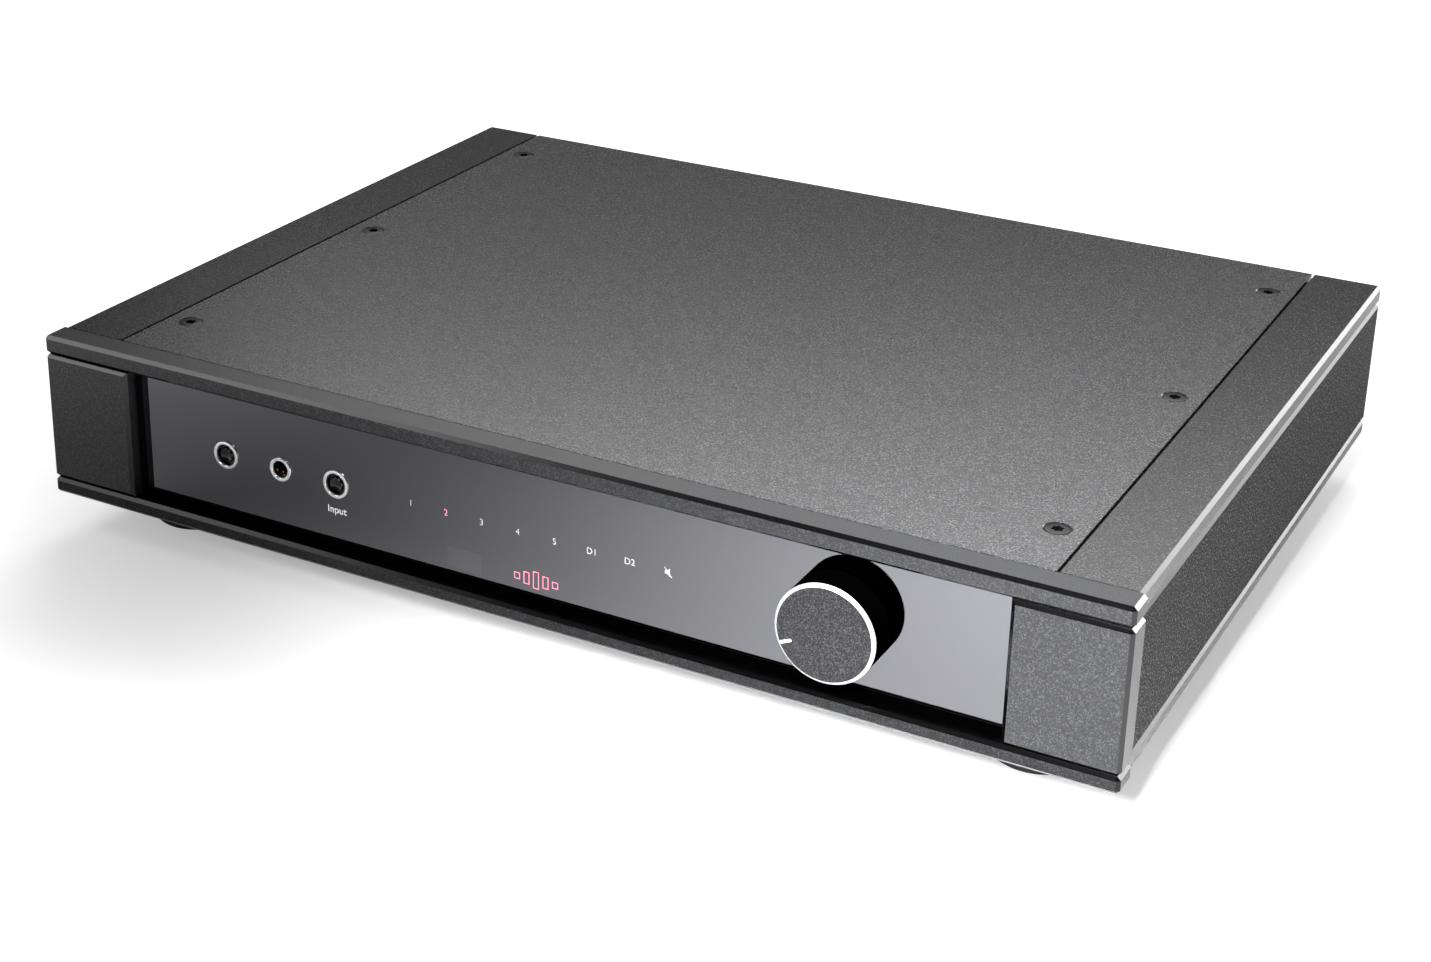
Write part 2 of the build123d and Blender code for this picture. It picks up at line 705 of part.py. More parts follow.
with BuildPart() as rca_block:
    block_x = wider((rca_first_x, rca_first_x + rca_pitch * (rca_columns - 1)), rca_block_margin)
    block_y = (panel_y - rca_block_depth, panel_y)
    block_z = around(rca_middle_z, rca_block_height)
    block(block_x, block_y, block_z)
    coaxial_block_z = (block_z[0], coaxial_place[1] + coaxial_block_half)
    block(around(digital_x, 2 * coaxial_block_half), block_y, coaxial_block_z)
    rod(block_screw_places, (panel_y - block_screw_depth, panel_y), panel_screw_hole, mode=Mode.SUBTRACT)
save(rca_block, "rca_block")

# ---- Optical socket and its shutter ----

optical_face_y = rear_y + optical_proud
mouth_x = around(digital_x, optical_mouth)
mouth_z = around(optical_z, optical_mouth)
shutter_y = optical_face_y - shutter_setback
shutter_pivot_z = mouth_z[1] - shutter_pivot_drop
shutter_x = wider(mouth_x, -shutter_margin)
shutter_pin_length = optical_mouth + 2 * shutter_pin_reach

with BuildPart() as optical_housing:
    block(optical_body_x, (panel_y - optical_depth, optical_face_y), optical_body_z)
    block(mouth_x, (optical_face_y - optical_depth, optical_face_y), mouth_z, mode=Mode.SUBTRACT)
    with Locations((digital_x, shutter_y, shutter_pivot_z)):
        Cylinder(
            shutter_pin_radius + running_clearance,
            shutter_pin_length + 2 * shutter_pin_end_gap,
            rotation=(0, 90, 0),
            mode=Mode.SUBTRACT,
        )
save(optical_housing, "optical_housing")

with BuildPart() as optical_shutter:
    shutter_z = (mouth_z[0] + shutter_margin, shutter_pivot_z + shutter_top)
    block(shutter_x, around(shutter_y, shutter_thickness), shutter_z)
    with Locations((digital_x, shutter_y, shutter_pivot_z)):
        Cylinder(shutter_pin_radius, shutter_pin_length, rotation=(0, 90, 0))
save(optical_shutter, "optical_shutter")

# ---- Mains inlet ----

mouth_front_y = rear_y + inlet_flange
mouth_back_y = mouth_front_y - inlet_mouth_depth
inlet_mouth_middle_z = inlet_z + inlet_mouth_rise
drawer_z = inlet_z - drawer_drop
drawer_x = around(inlet_x, drawer_width)
drawer_span_z = around(drawer_z, drawer_height)
drawer_face_y = mouth_front_y + drawer_proud

with BuildPart() as mains_inlet:
    block(inlet_body_x, (rear_y - inlet_depth, rear_y), inlet_body_z)
    with BuildSketch(Plane.XZ.offset(-mouth_front_y)):
        with Locations((inlet_x, inlet_z)):
            RectangleRounded(inlet_flange_width, inlet_flange_height, inlet_corner_radius)
    extrude(amount=inlet_flange)
    with BuildSketch(Plane.XZ.offset(-mouth_front_y)) as mouth_outline:
        with Locations((inlet_x, inlet_mouth_middle_z)):
            Rectangle(inlet_mouth_width, inlet_mouth_height)
        chamfer(mouth_outline.vertices().group_by(Axis.Z)[-1], inlet_mouth_chamfer)
    extrude(amount=inlet_mouth_depth, mode=Mode.SUBTRACT)
    block(
        wider(drawer_x, button_clearance),
        (mouth_front_y - drawer_depth - drawer_end_gap, mouth_front_y),
        wider(drawer_span_z, button_clearance),
        mode=Mode.SUBTRACT,
    )
    rod(inlet_screw_places, (rear_y, mouth_front_y), panel_screw_hole, mode=Mode.SUBTRACT)
save(mains_inlet, "mains_inlet")

with BuildPart() as mains_pins:
    pin_y = (mouth_back_y, mouth_back_y + pin_length)
    for pin_x, pin_z in inlet_pin_places:
        pin_middle_z = inlet_mouth_middle_z + pin_z
        block(around(inlet_x + pin_x, inlet_pin_size[0]), pin_y, around(pin_middle_z, inlet_pin_size[1]))
save(mains_pins, "mains_pins")

with BuildPart() as fuse_drawer:
    block(drawer_x, (mouth_front_y - drawer_depth, drawer_face_y), drawer_span_z)
    lip_top_z = drawer_span_z[1] - drawer_lip_drop
    lip_z = (lip_top_z - drawer_lip_height, lip_top_z)
    block(around(inlet_x, drawer_lip_width), (drawer_face_y, drawer_face_y + drawer_lip), lip_z)
save(fuse_drawer, "fuse_drawer")

# ---- Speaker terminals ----

flange_face_y = rear_y + terminal_flange
collar_end_y = panel_y - terminal_collar_proud
washer_y = (flange_face_y + rest_gap, flange_face_y + rest_gap + washer_thickness)
stud_end_y = overall_depth / 2
cap_y = (washer_y[1] + rest_gap, stud_end_y - cap_inset)
stud_bore_y = (stud_end_y - stud_bore_depth, stud_end_y)
sliding_radius = stud_radius + running_clearance

with BuildPart() as terminal_bases:
    rod(terminal_places, (rear_y, flange_face_y), terminal_flange_radius)
    rod(terminal_places, (collar_end_y, rear_y), terminal_collar_radius)
    rod(terminal_places, (collar_end_y, flange_face_y), stud_radius + screw_clearance, mode=Mode.SUBTRACT)
save(terminal_bases, "terminal_bases")

with BuildPart() as terminal_studs:
    rod(terminal_places, (stud_bore_y[0] - stud_tail, stud_end_y), stud_radius)
    rod(terminal_places, stud_bore_y, stud_bore_radius, mode=Mode.SUBTRACT)
save(terminal_studs, "terminal_studs")

with BuildPart() as panel_nuts:
    with BuildSketch(Plane.XZ.offset(-collar_end_y)):
        with Locations(*terminal_places):
            RegularPolygon(stud_radius + terminal_nut_margin, 6)
            Circle(stud_radius + screw_clearance, mode=Mode.SUBTRACT)
    extrude(amount=terminal_nut)
    with BuildSketch(Plane.XZ.offset(-frame_back_y)):
        with Locations(knob_place):
            RegularPolygon(bushing_radius + bushing_nut_margin, 6)
            Circle(bushing_radius + screw_clearance, mode=Mode.SUBTRACT)
    extrude(amount=bushing_nut)
save(panel_nuts, "panel_nuts")

for number, place in enumerate(terminal_places, start=1):
    with BuildPart() as washer:
        rod([place], washer_y, washer_radius)
        rod([place], washer_y, sliding_radius, mode=Mode.SUBTRACT)
    save(washer, f"terminal_washer_{number}")

    with BuildPart() as cap:
        with BuildSketch(Plane.XZ.offset(-cap_y[1])):
            with Locations(place):
                Circle(cap_radius)
                with PolarLocations(cap_radius, cap_flutes):
                    Circle(flute_radius, mode=Mode.SUBTRACT)
                Circle(sliding_radius, mode=Mode.SUBTRACT)
        extrude(amount=cap_y[1] - cap_y[0])
    save(cap, f"terminal_cap_{number}")

# ---- Power supply ----

transformer_place = [(transformer_x, transformer_y)]
transformer_z = (plate_top + pad_thickness, plate_top + pad_thickness + transformer_height)
upper_pad_top = transformer_z[1] + pad_thickness

with BuildPart() as toroidal_transformer:
    pillar(transformer_place, transformer_z, transformer_radius)
    pillar(transformer_place, transformer_z, transformer_hole_radius, mode=Mode.SUBTRACT)
    fillet(toroidal_transformer.edges().filter_by(GeomType.CIRCLE), transformer_round)
save(toroidal_transformer, "toroidal_transformer")

with BuildPart() as transformer_pads:
    for pad_z in ((plate_top, transformer_z[0]), (transformer_z[1], upper_pad_top)):
        pillar(transformer_place, pad_z, transformer_radius + pad_margin)
        pillar(transformer_place, pad_z, bolt_hole_radius, mode=Mode.SUBTRACT)
save(transformer_pads, "transformer_pads")

with BuildPart() as transformer_dish:
    dish_z = (upper_pad_top, upper_pad_top + dish_thickness)
    pillar(transformer_place, dish_z, dish_radius)
    pillar(transformer_place, dish_z, bolt_hole_radius, mode=Mode.SUBTRACT)
save(transformer_dish, "transformer_dish")

with BuildPart() as transformer_bolt:
    pillar(transformer_place, (case_bottom, dish_z[1]), bolt_radius)
    with BuildSketch(Plane.XY.offset(dish_z[1])):
        with Locations(*transformer_place):
            RegularPolygon(bolt_head_radius, 6)
    extrude(amount=bolt_head_height)
save(transformer_bolt, "transformer_bolt")

# ---- Amplifier board ----

board_x = (board_left_x, board_right_x)
board_y = (board_front_y, board_rear_y)

with BuildPart() as main_board:
    block(board_x, board_y, (board_bottom, board_top))
save(main_board, "main_board")

with BuildPart() as board_standoffs:
    rows = (*wider(board_y, -board_corner_inset), sum(board_y) / 2)
    corners = [(x, y) for x in wider(board_x, -board_corner_inset) for y in rows]
    pillar(corners, (plate_top, board_bottom), standoff_radius)
    front_rows = wider(front_board_z, -front_board_corner)
    front_corners = [(x, z) for x in wider(front_board_x, -front_board_corner) for z in front_rows]
    rod(front_corners, (subpanel_y, front_board_y), standoff_radius)
save(board_standoffs, "board_standoffs")

with BuildPart() as reservoir_capacitors:
    capacitor_x = board_left_x + capacitor_radius + capacitor_side_gap
    first_capacitor_y = board_front_y + capacitor_radius + capacitor_front_gap
    capacitor_ys = [first_capacitor_y + capacitor_pitch * i for i in range(capacitor_count)]
    capacitor_places = [(capacitor_x, y) for y in capacitor_ys]
    pillar(capacitor_places, (board_top, board_top + capacitor_height), capacitor_radius)
    fillet(reservoir_capacitors.edges().group_by(Axis.Z)[-1], capacitor_round)
save(reservoir_capacitors, "reservoir_capacitors")

heatsink_x = capacitor_x + capacitor_radius + heatsink_side_gap
heatsink_front_y = board_front_y + heatsink_front_gap
heatsink_y = (heatsink_front_y, heatsink_front_y + heatsink_length)
transistor_bottom = board_top + transistor_rise

with BuildPart() as heatsink:
    block((heatsink_x, heatsink_x + heatsink_web), heatsink_y, (board_top, board_top + heatsink_height))
    fin_pitch = (heatsink_height - fin_thickness) / (fin_count - 1)
    for i in range(fin_count):
        fin_z = board_top + fin_pitch * i
        fin_x = (heatsink_x + heatsink_web, heatsink_x + heatsink_web + fin_length)
        block(fin_x, heatsink_y, (fin_z, fin_z + fin_thickness))
save(heatsink, "heatsink")

with BuildPart() as output_transistors:
    depth, width, height = transistor_size
    transistor_pitch = heatsink_length / transistor_count
    for i in range(transistor_count):
        middle_y = heatsink_y[0] + transistor_pitch * (i + 0.5)
        body_z = (transistor_bottom, transistor_bottom + height)
        block((heatsink_x - depth, heatsink_x), around(middle_y, width), body_z)
        for leg in (-1, 0, 1):
            leg_x = around(heatsink_x - depth / 2, transistor_leg[0])
            leg_y = around(middle_y + leg * transistor_leg_pitch, transistor_leg[1])
            block(leg_x, leg_y, (board_top, transistor_bottom))
save(output_transistors, "output_transistors")

# ---- Ribbon cable between the boards ----

ribbon_y = (front_board_y + board_thickness, board_front_y + ribbon_seat)
ribbon_z = front_board_z[0] + ribbon_rise


def ribbon_side(offset):
    """One face of the ribbon, straight back from the front board and down to the main board."""
    return FilletPolyline(
        (ribbon_y[0], ribbon_z + offset),
        (ribbon_y[1] + offset, ribbon_z + offset),
        (ribbon_y[1] + offset, board_top),
        radius=ribbon_radius + offset,
    )


with BuildPart() as ribbon_cable:
    with BuildSketch(Plane.YZ.offset(-ribbon_width / 2)):
        with BuildLine():
            upper_side = ribbon_side(ribbon_thickness / 2)
            lower_side = ribbon_side(-ribbon_thickness / 2)
            Line(upper_side @ 0, lower_side @ 0)
            Line(upper_side @ 1, lower_side @ 1)
        make_face()
    extrude(amount=ribbon_width)
save(ribbon_cable, "ribbon_cable")
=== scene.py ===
from math import cos, pi, radians, sin
import bmesh
import bpy
from mathutils import Matrix, Quaternion, Vector


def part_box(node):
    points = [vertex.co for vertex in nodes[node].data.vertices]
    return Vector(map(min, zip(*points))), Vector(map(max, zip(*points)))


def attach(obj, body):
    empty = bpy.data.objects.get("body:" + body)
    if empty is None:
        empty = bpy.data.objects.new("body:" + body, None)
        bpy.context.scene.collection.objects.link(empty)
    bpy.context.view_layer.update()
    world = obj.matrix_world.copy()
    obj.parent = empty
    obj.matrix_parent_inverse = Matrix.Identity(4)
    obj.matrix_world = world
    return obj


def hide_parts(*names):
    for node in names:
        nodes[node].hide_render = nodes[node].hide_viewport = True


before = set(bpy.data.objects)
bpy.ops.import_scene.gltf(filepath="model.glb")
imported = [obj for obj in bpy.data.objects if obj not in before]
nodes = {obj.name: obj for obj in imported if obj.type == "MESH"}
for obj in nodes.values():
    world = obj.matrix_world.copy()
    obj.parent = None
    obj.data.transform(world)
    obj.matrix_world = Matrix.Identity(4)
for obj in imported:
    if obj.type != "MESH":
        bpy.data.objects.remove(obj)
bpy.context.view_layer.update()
scene = bpy.context.scene
mm = 0.001
print("frame loaded,", len(nodes), "nodes")


def linearColour(hexText):
    parts = [int(hexText[i:i + 2], 16) / 255 for i in (1, 3, 5)]
    return [p / 12.92 if p <= 0.04045 else ((p + 0.055) / 1.055) ** 2.4 for p in parts] + [1.0]


# Materials

def newMaterial(name, **shaderSettings):
    material = bpy.data.materials.new(name)
    material.use_nodes = True
    shader = material.node_tree.nodes["Principled BSDF"]
    for label, value in shaderSettings.items():
        socket = shader.inputs[label.replace("_", " ")]
        socket.default_value = linearColour(value) if isinstance(value, str) else value
    return material


def addNode(material, kind, settings=None, links=None):
    tree = material.node_tree
    node = tree.nodes.new(kind)
    for label, value in (settings or {}).items():
        if isinstance(label, int) or label in node.inputs:
            node.inputs[label].default_value = linearColour(value) if isinstance(value, str) else value
        else:
            setattr(node, label, value)
    for label, source in (links or {}).items():
        tree.links.new(source, node.inputs[label])
    return node


def feedShader(material, links):
    shader = material.node_tree.nodes["Principled BSDF"]
    for label, source in links.items():
        material.node_tree.links.new(source, shader.inputs[label])


def objectPoints(material, centre=None):
    points = addNode(material, "ShaderNodeTexCoord").outputs["Object"]
    if centre is None:
        return points
    shift = addNode(material, "ShaderNodeVectorMath", {"operation": "SUBTRACT", 1: centre}, {0: points})
    return shift.outputs[0]


def grainOf(material, points, size, detail=2.0):
    # a noise whose grains measure about size millimetres
    noise = {"Scale": 1 / (size * mm), "Detail": detail, "Roughness": 0.6}
    return addNode(material, "ShaderNodeTexNoise", noise, {"Vector": points}).outputs["Fac"]


def rampOf(material, factor, stops):
    ramp = addNode(material, "ShaderNodeValToRGB", {}, {"Fac": factor})
    elements = ramp.color_ramp.elements
    while len(elements) < len(stops):
        elements.new(0.5)
    for element, (place, colour) in zip(elements, stops):
        element.position = place
        element.color = linearColour(colour)
    return ramp.outputs["Color"]


def stretchOf(material, value, low, high):
    limits = {"To Min": low, "To Max": high}
    return addNode(material, "ShaderNodeMapRange", limits, {"Value": value}).outputs["Result"]


def mathOf(material, operation, *terms):
    # each term is a socket or a plain number
    node = addNode(material, "ShaderNodeMath", {"operation": operation})
    for index, term in enumerate(terms):
        if isinstance(term, bpy.types.NodeSocket):
            material.node_tree.links.new(term, node.inputs[index])
        else:
            node.inputs[index].default_value = term
    return node.outputs[0]


def varyGloss(material, grain, low, high):
    # roughness wanders between low and high in grains of this many millimetres
    spots = grainOf(material, objectPoints(material), grain)
    feedShader(material, {"Roughness": stretchOf(material, spots, low, high)})


def bumpOf(material, height, strength, depth):
    return addNode(material, "ShaderNodeBump", {"Strength": strength, "Distance": depth * mm},
                   {"Height": height}).outputs["Normal"]


flatFacing = 0.93        # a face counts as flat when its normal lies this near an axis


def powderCoat(name, stops, grain, gloss, strength, cutEdgesAndLedgeShade=None, cutGloss=0.16, paintedShadeOnLedges=False, **more):
    # powder coating, baked: fine raised grains on charcoal, their tops painted pale as painted highlights;
    # the cut-edge colour is that of smooth, glossy chamfers, and the ledge switch also gives it to faces that
    # look up or down, as painted shade
    material = newMaterial(name, Metallic=0.0, IOR=1.5, **more)
    points = objectPoints(material)
    fine = grainOf(material, points, grain, 3.0)
    # the pale top stop paints highlights onto the raised grains; the darker stops are the coat's own charcoal
    colour = rampOf(material, fine, stops)
    roughness = stretchOf(material, fine, gloss - 0.08, gloss + 0.08)
    height = fine
    if cutEdgesAndLedgeShade:
        normal = addNode(material, "ShaderNodeNewGeometry").outputs["True Normal"]
        facing = addNode(material, "ShaderNodeVectorMath", {"operation": "ABSOLUTE"}, {0: normal}).outputs[0]
        split = addNode(material, "ShaderNodeSeparateXYZ", {}, {0: facing}).outputs
        most = mathOf(material, "MAXIMUM", split[0], split[1])
        # without the z axis, faces that look up or down miss the flat mask and take the cut-edge colour as
        # painted shade
        if not paintedShadeOnLedges:
            most = mathOf(material, "MAXIMUM", most, split[2])
        flat = mathOf(material, "GREATER_THAN", most, flatFacing)
        mix = addNode(material, "ShaderNodeMix", {"data_type": "RGBA", 6: cutEdgesAndLedgeShade}, {0: flat, 7: colour})
        colour = mix.outputs[2]
        roughness = addNode(material, "ShaderNodeMix", {2: cutGloss}, {0: flat, 3: roughness}).outputs[0]
        height = mathOf(material, "MULTIPLY", flat, fine)
    feedShader(material, {"Base Color": colour, "Roughness": roughness,
                          "Normal": bumpOf(material, height, strength, 0.06)})
    return material


caseCoat = powderCoat("texturedPowderCoatOnSteel", [(0.38, "#050607"), (0.5, "#131416"), (0.64, "#65666a")],
                      grain=0.6, gloss=0.26, strength=0.8, Specular_IOR_Level=0.75)
sideCoat = powderCoat("flakedPowderCoatOnAluminium",
                      [(0.44, "#010101"), (0.55, "#080909"), (0.68, "#a2a4a3")],
                      grain=0.75, gloss=0.5, strength=0.9, cutEdgesAndLedgeShade="#0b0b0c", Specular_IOR_Level=0.05)
frameCoat = powderCoat("texturedPowderCoatOnAluminium",
                       [(0.36, "#040405"), (0.5, "#111214"), (0.68, "#45464b")],
                       grain=0.5, gloss=0.32, strength=0.7, cutEdgesAndLedgeShade="#050506")
# the sill's coat is the frame's coat painted darker as painted shade, with near-black ledge faces as painted
# shade under the visor
paintedShadeSillCoat = powderCoat("texturedPowderCoatOnAluminiumWithPaintedShade",
                      [(0.36, "#040405"), (0.5, "#0c0c0e"), (0.68, "#3a3b3f")],
                      grain=0.5, gloss=0.36, strength=0.7, cutEdgesAndLedgeShade="#010101", paintedShadeOnLedges=True,
                      Specular_IOR_Level=0.25)
railCoat = powderCoat("satinPowderCoatOnAluminium", [(0.38, "#050506"), (0.5, "#0f1011"), (0.66, "#4e4f52")],
                      grain=0.6, gloss=0.24, strength=0.7, cutEdgesAndLedgeShade="#0b0b0c", cutGloss=0.34)
innerSteel = powderCoat("blackPaintedSheetSteel", [(0.34, "#070708"), (0.52, "#0c0c0d"), (0.75, "#1a1a1b")],
                        grain=0.6, gloss=0.5, strength=0.3)


def plated(name, colour, roughness, scratch=0.7, metallic=1.0):
    # bright plating or polish: a mirror with hair-fine rubbing marks
    material = newMaterial(name, Metallic=metallic, Base_Color=colour)
    points = objectPoints(material)
    rub = grainOf(material, points, scratch, 4.0)
    feedShader(material, {"Roughness": stretchOf(material, rub, roughness * 0.7, roughness * 1.4),
                          "Normal": bumpOf(material, rub, 0.04, 0.02)})
    return material


chrome = plated("polishedChromePlate", "#f4f4f6", 0.2, 0.7, 0.75)
diamondCut = plated("diamondCutAluminium", "#fafafc", 0.32, 0.5, 0.7)
nickel = plated("nickelPlatedBrass", "#c9c5bb", 0.2)
goldPlate = plated("goldPlatedBrass", "#d9b268", 0.18)
zincSteel = plated("zincPlatedSteel", "#b4b8bc", 0.32)
springBrass = plated("springBrass", "#b98d4a", 0.25)


def moulded(name, colour, paler, roughness, grain=0.5, strength=0.2):
    # moulded plastic: an even colour under a fine spark-eroded texture
    material = newMaterial(name, Metallic=0.0, IOR=1.5)
    points = objectPoints(material)
    fine = grainOf(material, points, grain, 2.0)
    feedShader(material, {"Base Color": rampOf(material, fine, [(0.3, colour), (0.75, paler)]),
                          "Roughness": stretchOf(material, fine, roughness - 0.05, roughness + 0.07),
                          "Normal": bumpOf(material, fine, strength, 0.03)})
    return material


blackNylon = moulded("mouldedBlackNylon", "#0b0b0c", "#161617", 0.42)
glossButton = moulded("polishedBlackAbs", "#030304", "#060607", 0.12, 2.0, 0.02)
rubber = moulded("mouldedNitrileRubber", "#0e0e0f", "#1b1b1c", 0.7, 0.8, 0.35)
capBlack = moulded("mouldedBlackPolycarbonate", "#08080a", "#121214", 0.25)
capRed = moulded("mouldedRedPolycarbonate", "#8e0d12", "#a81a1c", 0.25)
whiteNylon = moulded("mouldedWhiteNylon", "#d8d6cf", "#e8e6df", 0.4)
redNylon = moulded("mouldedRedNylon", "#99141a", "#b02226", 0.4)
orangeNylon = moulded("mouldedOrangeNylon", "#c0671c", "#d07a2a", 0.4)
print("shared materials ready")


# Finish of a CAD part that is shown as it is

def dress(material, *names):
    for name in names:
        for materialSlot in nodes[name].material_slots:
            materialSlot.material = material


def sides(*names):
    return [f"{side}_{name}" for side in ("left", "right") for name in names]


dress(frameCoat, "front_visor", *sides("front_post"))
dress(paintedShadeSillCoat, "front_sill")
dress(caseCoat, "top_lid")
dress(sideCoat, *sides("side_panel"))
dress(railCoat, *sides("top_rail", "bottom_rail"))
dress(innerSteel, "base_plate", "front_subpanel", "rear_panel")
dress(zincSteel, "board_standoffs", "transformer_bolt")
dress(nickel, "volume_shaft", "mains_pins")
dress(blackNylon, "push_switches", "headphone_socket", "infrared_receiver", "rca_block", "optical_housing",
      "optical_shutter", "mains_inlet", "fuse_drawer", "output_transistors", "terminal_bases")


# Materials of the parts inside

inside = {"tapeTurns": 90.0, "trackPitch": 6.0, "corePitch": 1.27, "coreFactor": 3.14}
amberTape = newMaterial("polyesterWindingTape", Roughness=0.35)
low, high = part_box("toroidal_transformer")
tapePoints = objectPoints(amberTape, tuple((low + high) / 2))
sweep = addNode(amberTape, "ShaderNodeTexGradient", {"gradient_type": "RADIAL"}, {"Vector": tapePoints})
wraps = mathOf(amberTape, "FRACT", mathOf(amberTape, "MULTIPLY", sweep.outputs["Fac"], inside["tapeTurns"]))
tapeColour = rampOf(amberTape, wraps, [(0.0, "#6e4a18"), (0.2, "#a9772c"), (0.9, "#bd8a3a")])
feedShader(amberTape, {"Base Color": tapeColour, "Normal": bumpOf(amberTape, wraps, 0.6, 0.25)})
solderMask = newMaterial("greenSolderMaskOnGlassEpoxy", Roughness=0.3, Coat_Weight=0.3, Coat_Roughness=0.15)
tracks = addNode(solderMask, "ShaderNodeTexVoronoi",
                 {"distance": "CHEBYCHEV", "Scale": 1 / (inside["trackPitch"] * mm)},
                 {"Vector": objectPoints(solderMask)}).outputs["Distance"]
maskColour = rampOf(solderMask, tracks, [(0.30, "#0f4a2c"), (0.34, "#1b6b40"), (0.5, "#0f4a2c")])
feedShader(solderMask, {"Base Color": maskColour, "Normal": bumpOf(solderMask, tracks, 0.1, 0.05)})
canSleeve = moulded("pvcCapacitorSleeve", "#10182e", "#1a2440", 0.3)
finMetal = powderCoat("blackAnodisedExtrusion", [(0.3, "#0d0d0e"), (0.5, "#161617"), (0.7, "#2a2a2c")],
                      grain=0.5, gloss=0.35, strength=0.2)
flatCable = newMaterial("greyPvcRibbonCable", Roughness=0.5)
coreWave = {"bands_direction": "X", "Scale": 1 / (inside["corePitch"] * mm * inside["coreFactor"])}
cores = addNode(flatCable, "ShaderNodeTexWave", coreWave, {"Vector": objectPoints(flatCable)}).outputs["Fac"]
feedShader(flatCable, {"Base Color": rampOf(flatCable, cores, [(0.1, "#5c5c5e"), (0.6, "#a2a2a4")]),
                       "Normal": bumpOf(flatCable, cores, 0.7, 0.4)})
ledFilm = newMaterial("pinkLedLens", Base_Color="#f08098", Emission_Color="#f2849c", Emission_Strength=0.4)
varyGloss(ledFilm, 1.0, 0.2, 0.4)
dress(amberTape, "toroidal_transformer")
dress(solderMask, "main_board", "front_board")
dress(canSleeve, "reservoir_capacitors")
dress(finMetal, "heatsink")
dress(flatCable, "ribbon_cable")
dress(ledFilm, "indicator_leds")
dress(rubber, "transformer_pads")
dress(zincSteel, "transformer_dish", "panel_nuts")
dress(blackNylon, "volume_pot")


# Mesh helpers

def turned(points, steps=64):
    # spins a closed outline of (radius, along) round the Z axis
    mesh = bmesh.new()
    corners = [mesh.verts.new((across * mm, 0, along * mm)) for across, along in points]
    for pair in list(zip(corners, corners[1:])) + [(corners[-1], corners[0])]:
        mesh.edges.new(pair)
    bmesh.ops.spin(mesh, geom=mesh.verts[:] + mesh.edges[:], axis=(0, 0, 1), cent=(0, 0, 0), angle=2 * pi,
                   steps=steps, use_merge=True)
    tidyShape(mesh)
    return mesh


def tidyShape(mesh):
    bmesh.ops.remove_doubles(mesh, verts=mesh.verts, dist=0.002 * mm)
    bmesh.ops.dissolve_degenerate(mesh, edges=mesh.edges, dist=0.001 * mm)
    bmesh.ops.recalc_face_normals(mesh, faces=mesh.faces)


def boxShape(size, centre=(0, 0, 0), rounding=0.0):
    mesh = bmesh.new()
    bmesh.ops.create_cube(mesh, size=1)
    bmesh.ops.scale(mesh, vec=[s * mm for s in size], verts=mesh.verts)
    if rounding:
        bmesh.ops.bevel(mesh, geom=mesh.edges[:] + mesh.verts[:], offset=rounding * mm, segments=3,
                        profile=0.5, affect="EDGES", material=-1)
    bmesh.ops.translate(mesh, vec=[c * mm for c in centre], verts=mesh.verts)
    return mesh


def vertsIn(parts):
    return [part for part in parts if isinstance(part, bmesh.types.BMVert)]


def thicken(mesh, thickness):
    grown = bmesh.ops.extrude_face_region(mesh, geom=mesh.faces[:])["geom"]
    bmesh.ops.translate(mesh, vec=(0, 0, thickness * mm), verts=vertsIn(grown))
    bmesh.ops.recalc_face_normals(mesh, faces=mesh.faces)


def placed(mesh, place, facing="front", turn=0.0):
    # a shape made round Z with its front towards +Z is set on the case: front is -Y, rear is +Y
    spins = {"front": Matrix.Rotation(radians(90), 4, "X"),
             "rear": Matrix.Rotation(radians(-90), 4, "X"),
             "up": Matrix.Identity(4),
             "down": Matrix.Rotation(radians(180), 4, "X")}
    matrix = (Matrix.Translation([p * mm for p in place]) @ spins[facing]
              @ Matrix.Rotation(radians(turn), 4, "Z"))
    bmesh.ops.transform(mesh, matrix=matrix, verts=mesh.verts)
    return mesh


def joined(meshes):
    whole = bmesh.new()
    for mesh in meshes:
        part = bpy.data.meshes.new("part")
        mesh.to_mesh(part)
        mesh.free()
        whole.from_mesh(part)
        bpy.data.meshes.remove(part)
    return whole


def turnedAt(outline, steps, places, facing):
    return joined([placed(turned(outline, steps), place, facing) for place in places])


def paint(mesh, index, test=None):
    for face in mesh.faces:
        if test is None or test(face.calc_center_median() / mm, face.normal):
            face.material_index = index
    return mesh


def addPiece(name, mesh, materials, body="chassis", stands=(), smooth=32):
    data = bpy.data.meshes.new(name)
    mesh.to_mesh(data)
    mesh.free()
    for material in materials:
        data.materials.append(material)
    data.shade_smooth()
    data.set_sharp_from_angle(angle=radians(smooth))
    piece = bpy.data.objects.new(name, data)
    scene.collection.objects.link(piece)
    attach(piece, body)
    if stands:
        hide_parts(*stands)
    return piece


# Camera

cameraSettings = {"place": (0.3949, -0.8108, 0.4316), "azimuth": 29.51, "elevation": 21.57, "roll": 0.493,
                  "lens": 61.198, "shift": (0.0807, -0.1125), "sensor": 36.0, "clip": (0.02, 60.0)}
az, el = radians(cameraSettings["azimuth"]), radians(cameraSettings["elevation"])
aim = Vector((-sin(az) * cos(el), cos(az) * cos(el), -sin(el)))
camera = bpy.data.objects.new("camera", bpy.data.cameras.new("camera"))
scene.collection.objects.link(camera)
camera.rotation_mode = "QUATERNION"
camera.location = cameraSettings["place"]
camera.rotation_quaternion = (aim.to_track_quat("-Z", "Y")
                              @ Quaternion((0, 0, 1), radians(cameraSettings["roll"])))
camera.data.lens = cameraSettings["lens"]
camera.data.sensor_width = cameraSettings["sensor"]
camera.data.shift_x, camera.data.shift_y = cameraSettings["shift"]
camera.data.clip_start, camera.data.clip_end = cameraSettings["clip"]
scene.camera = camera
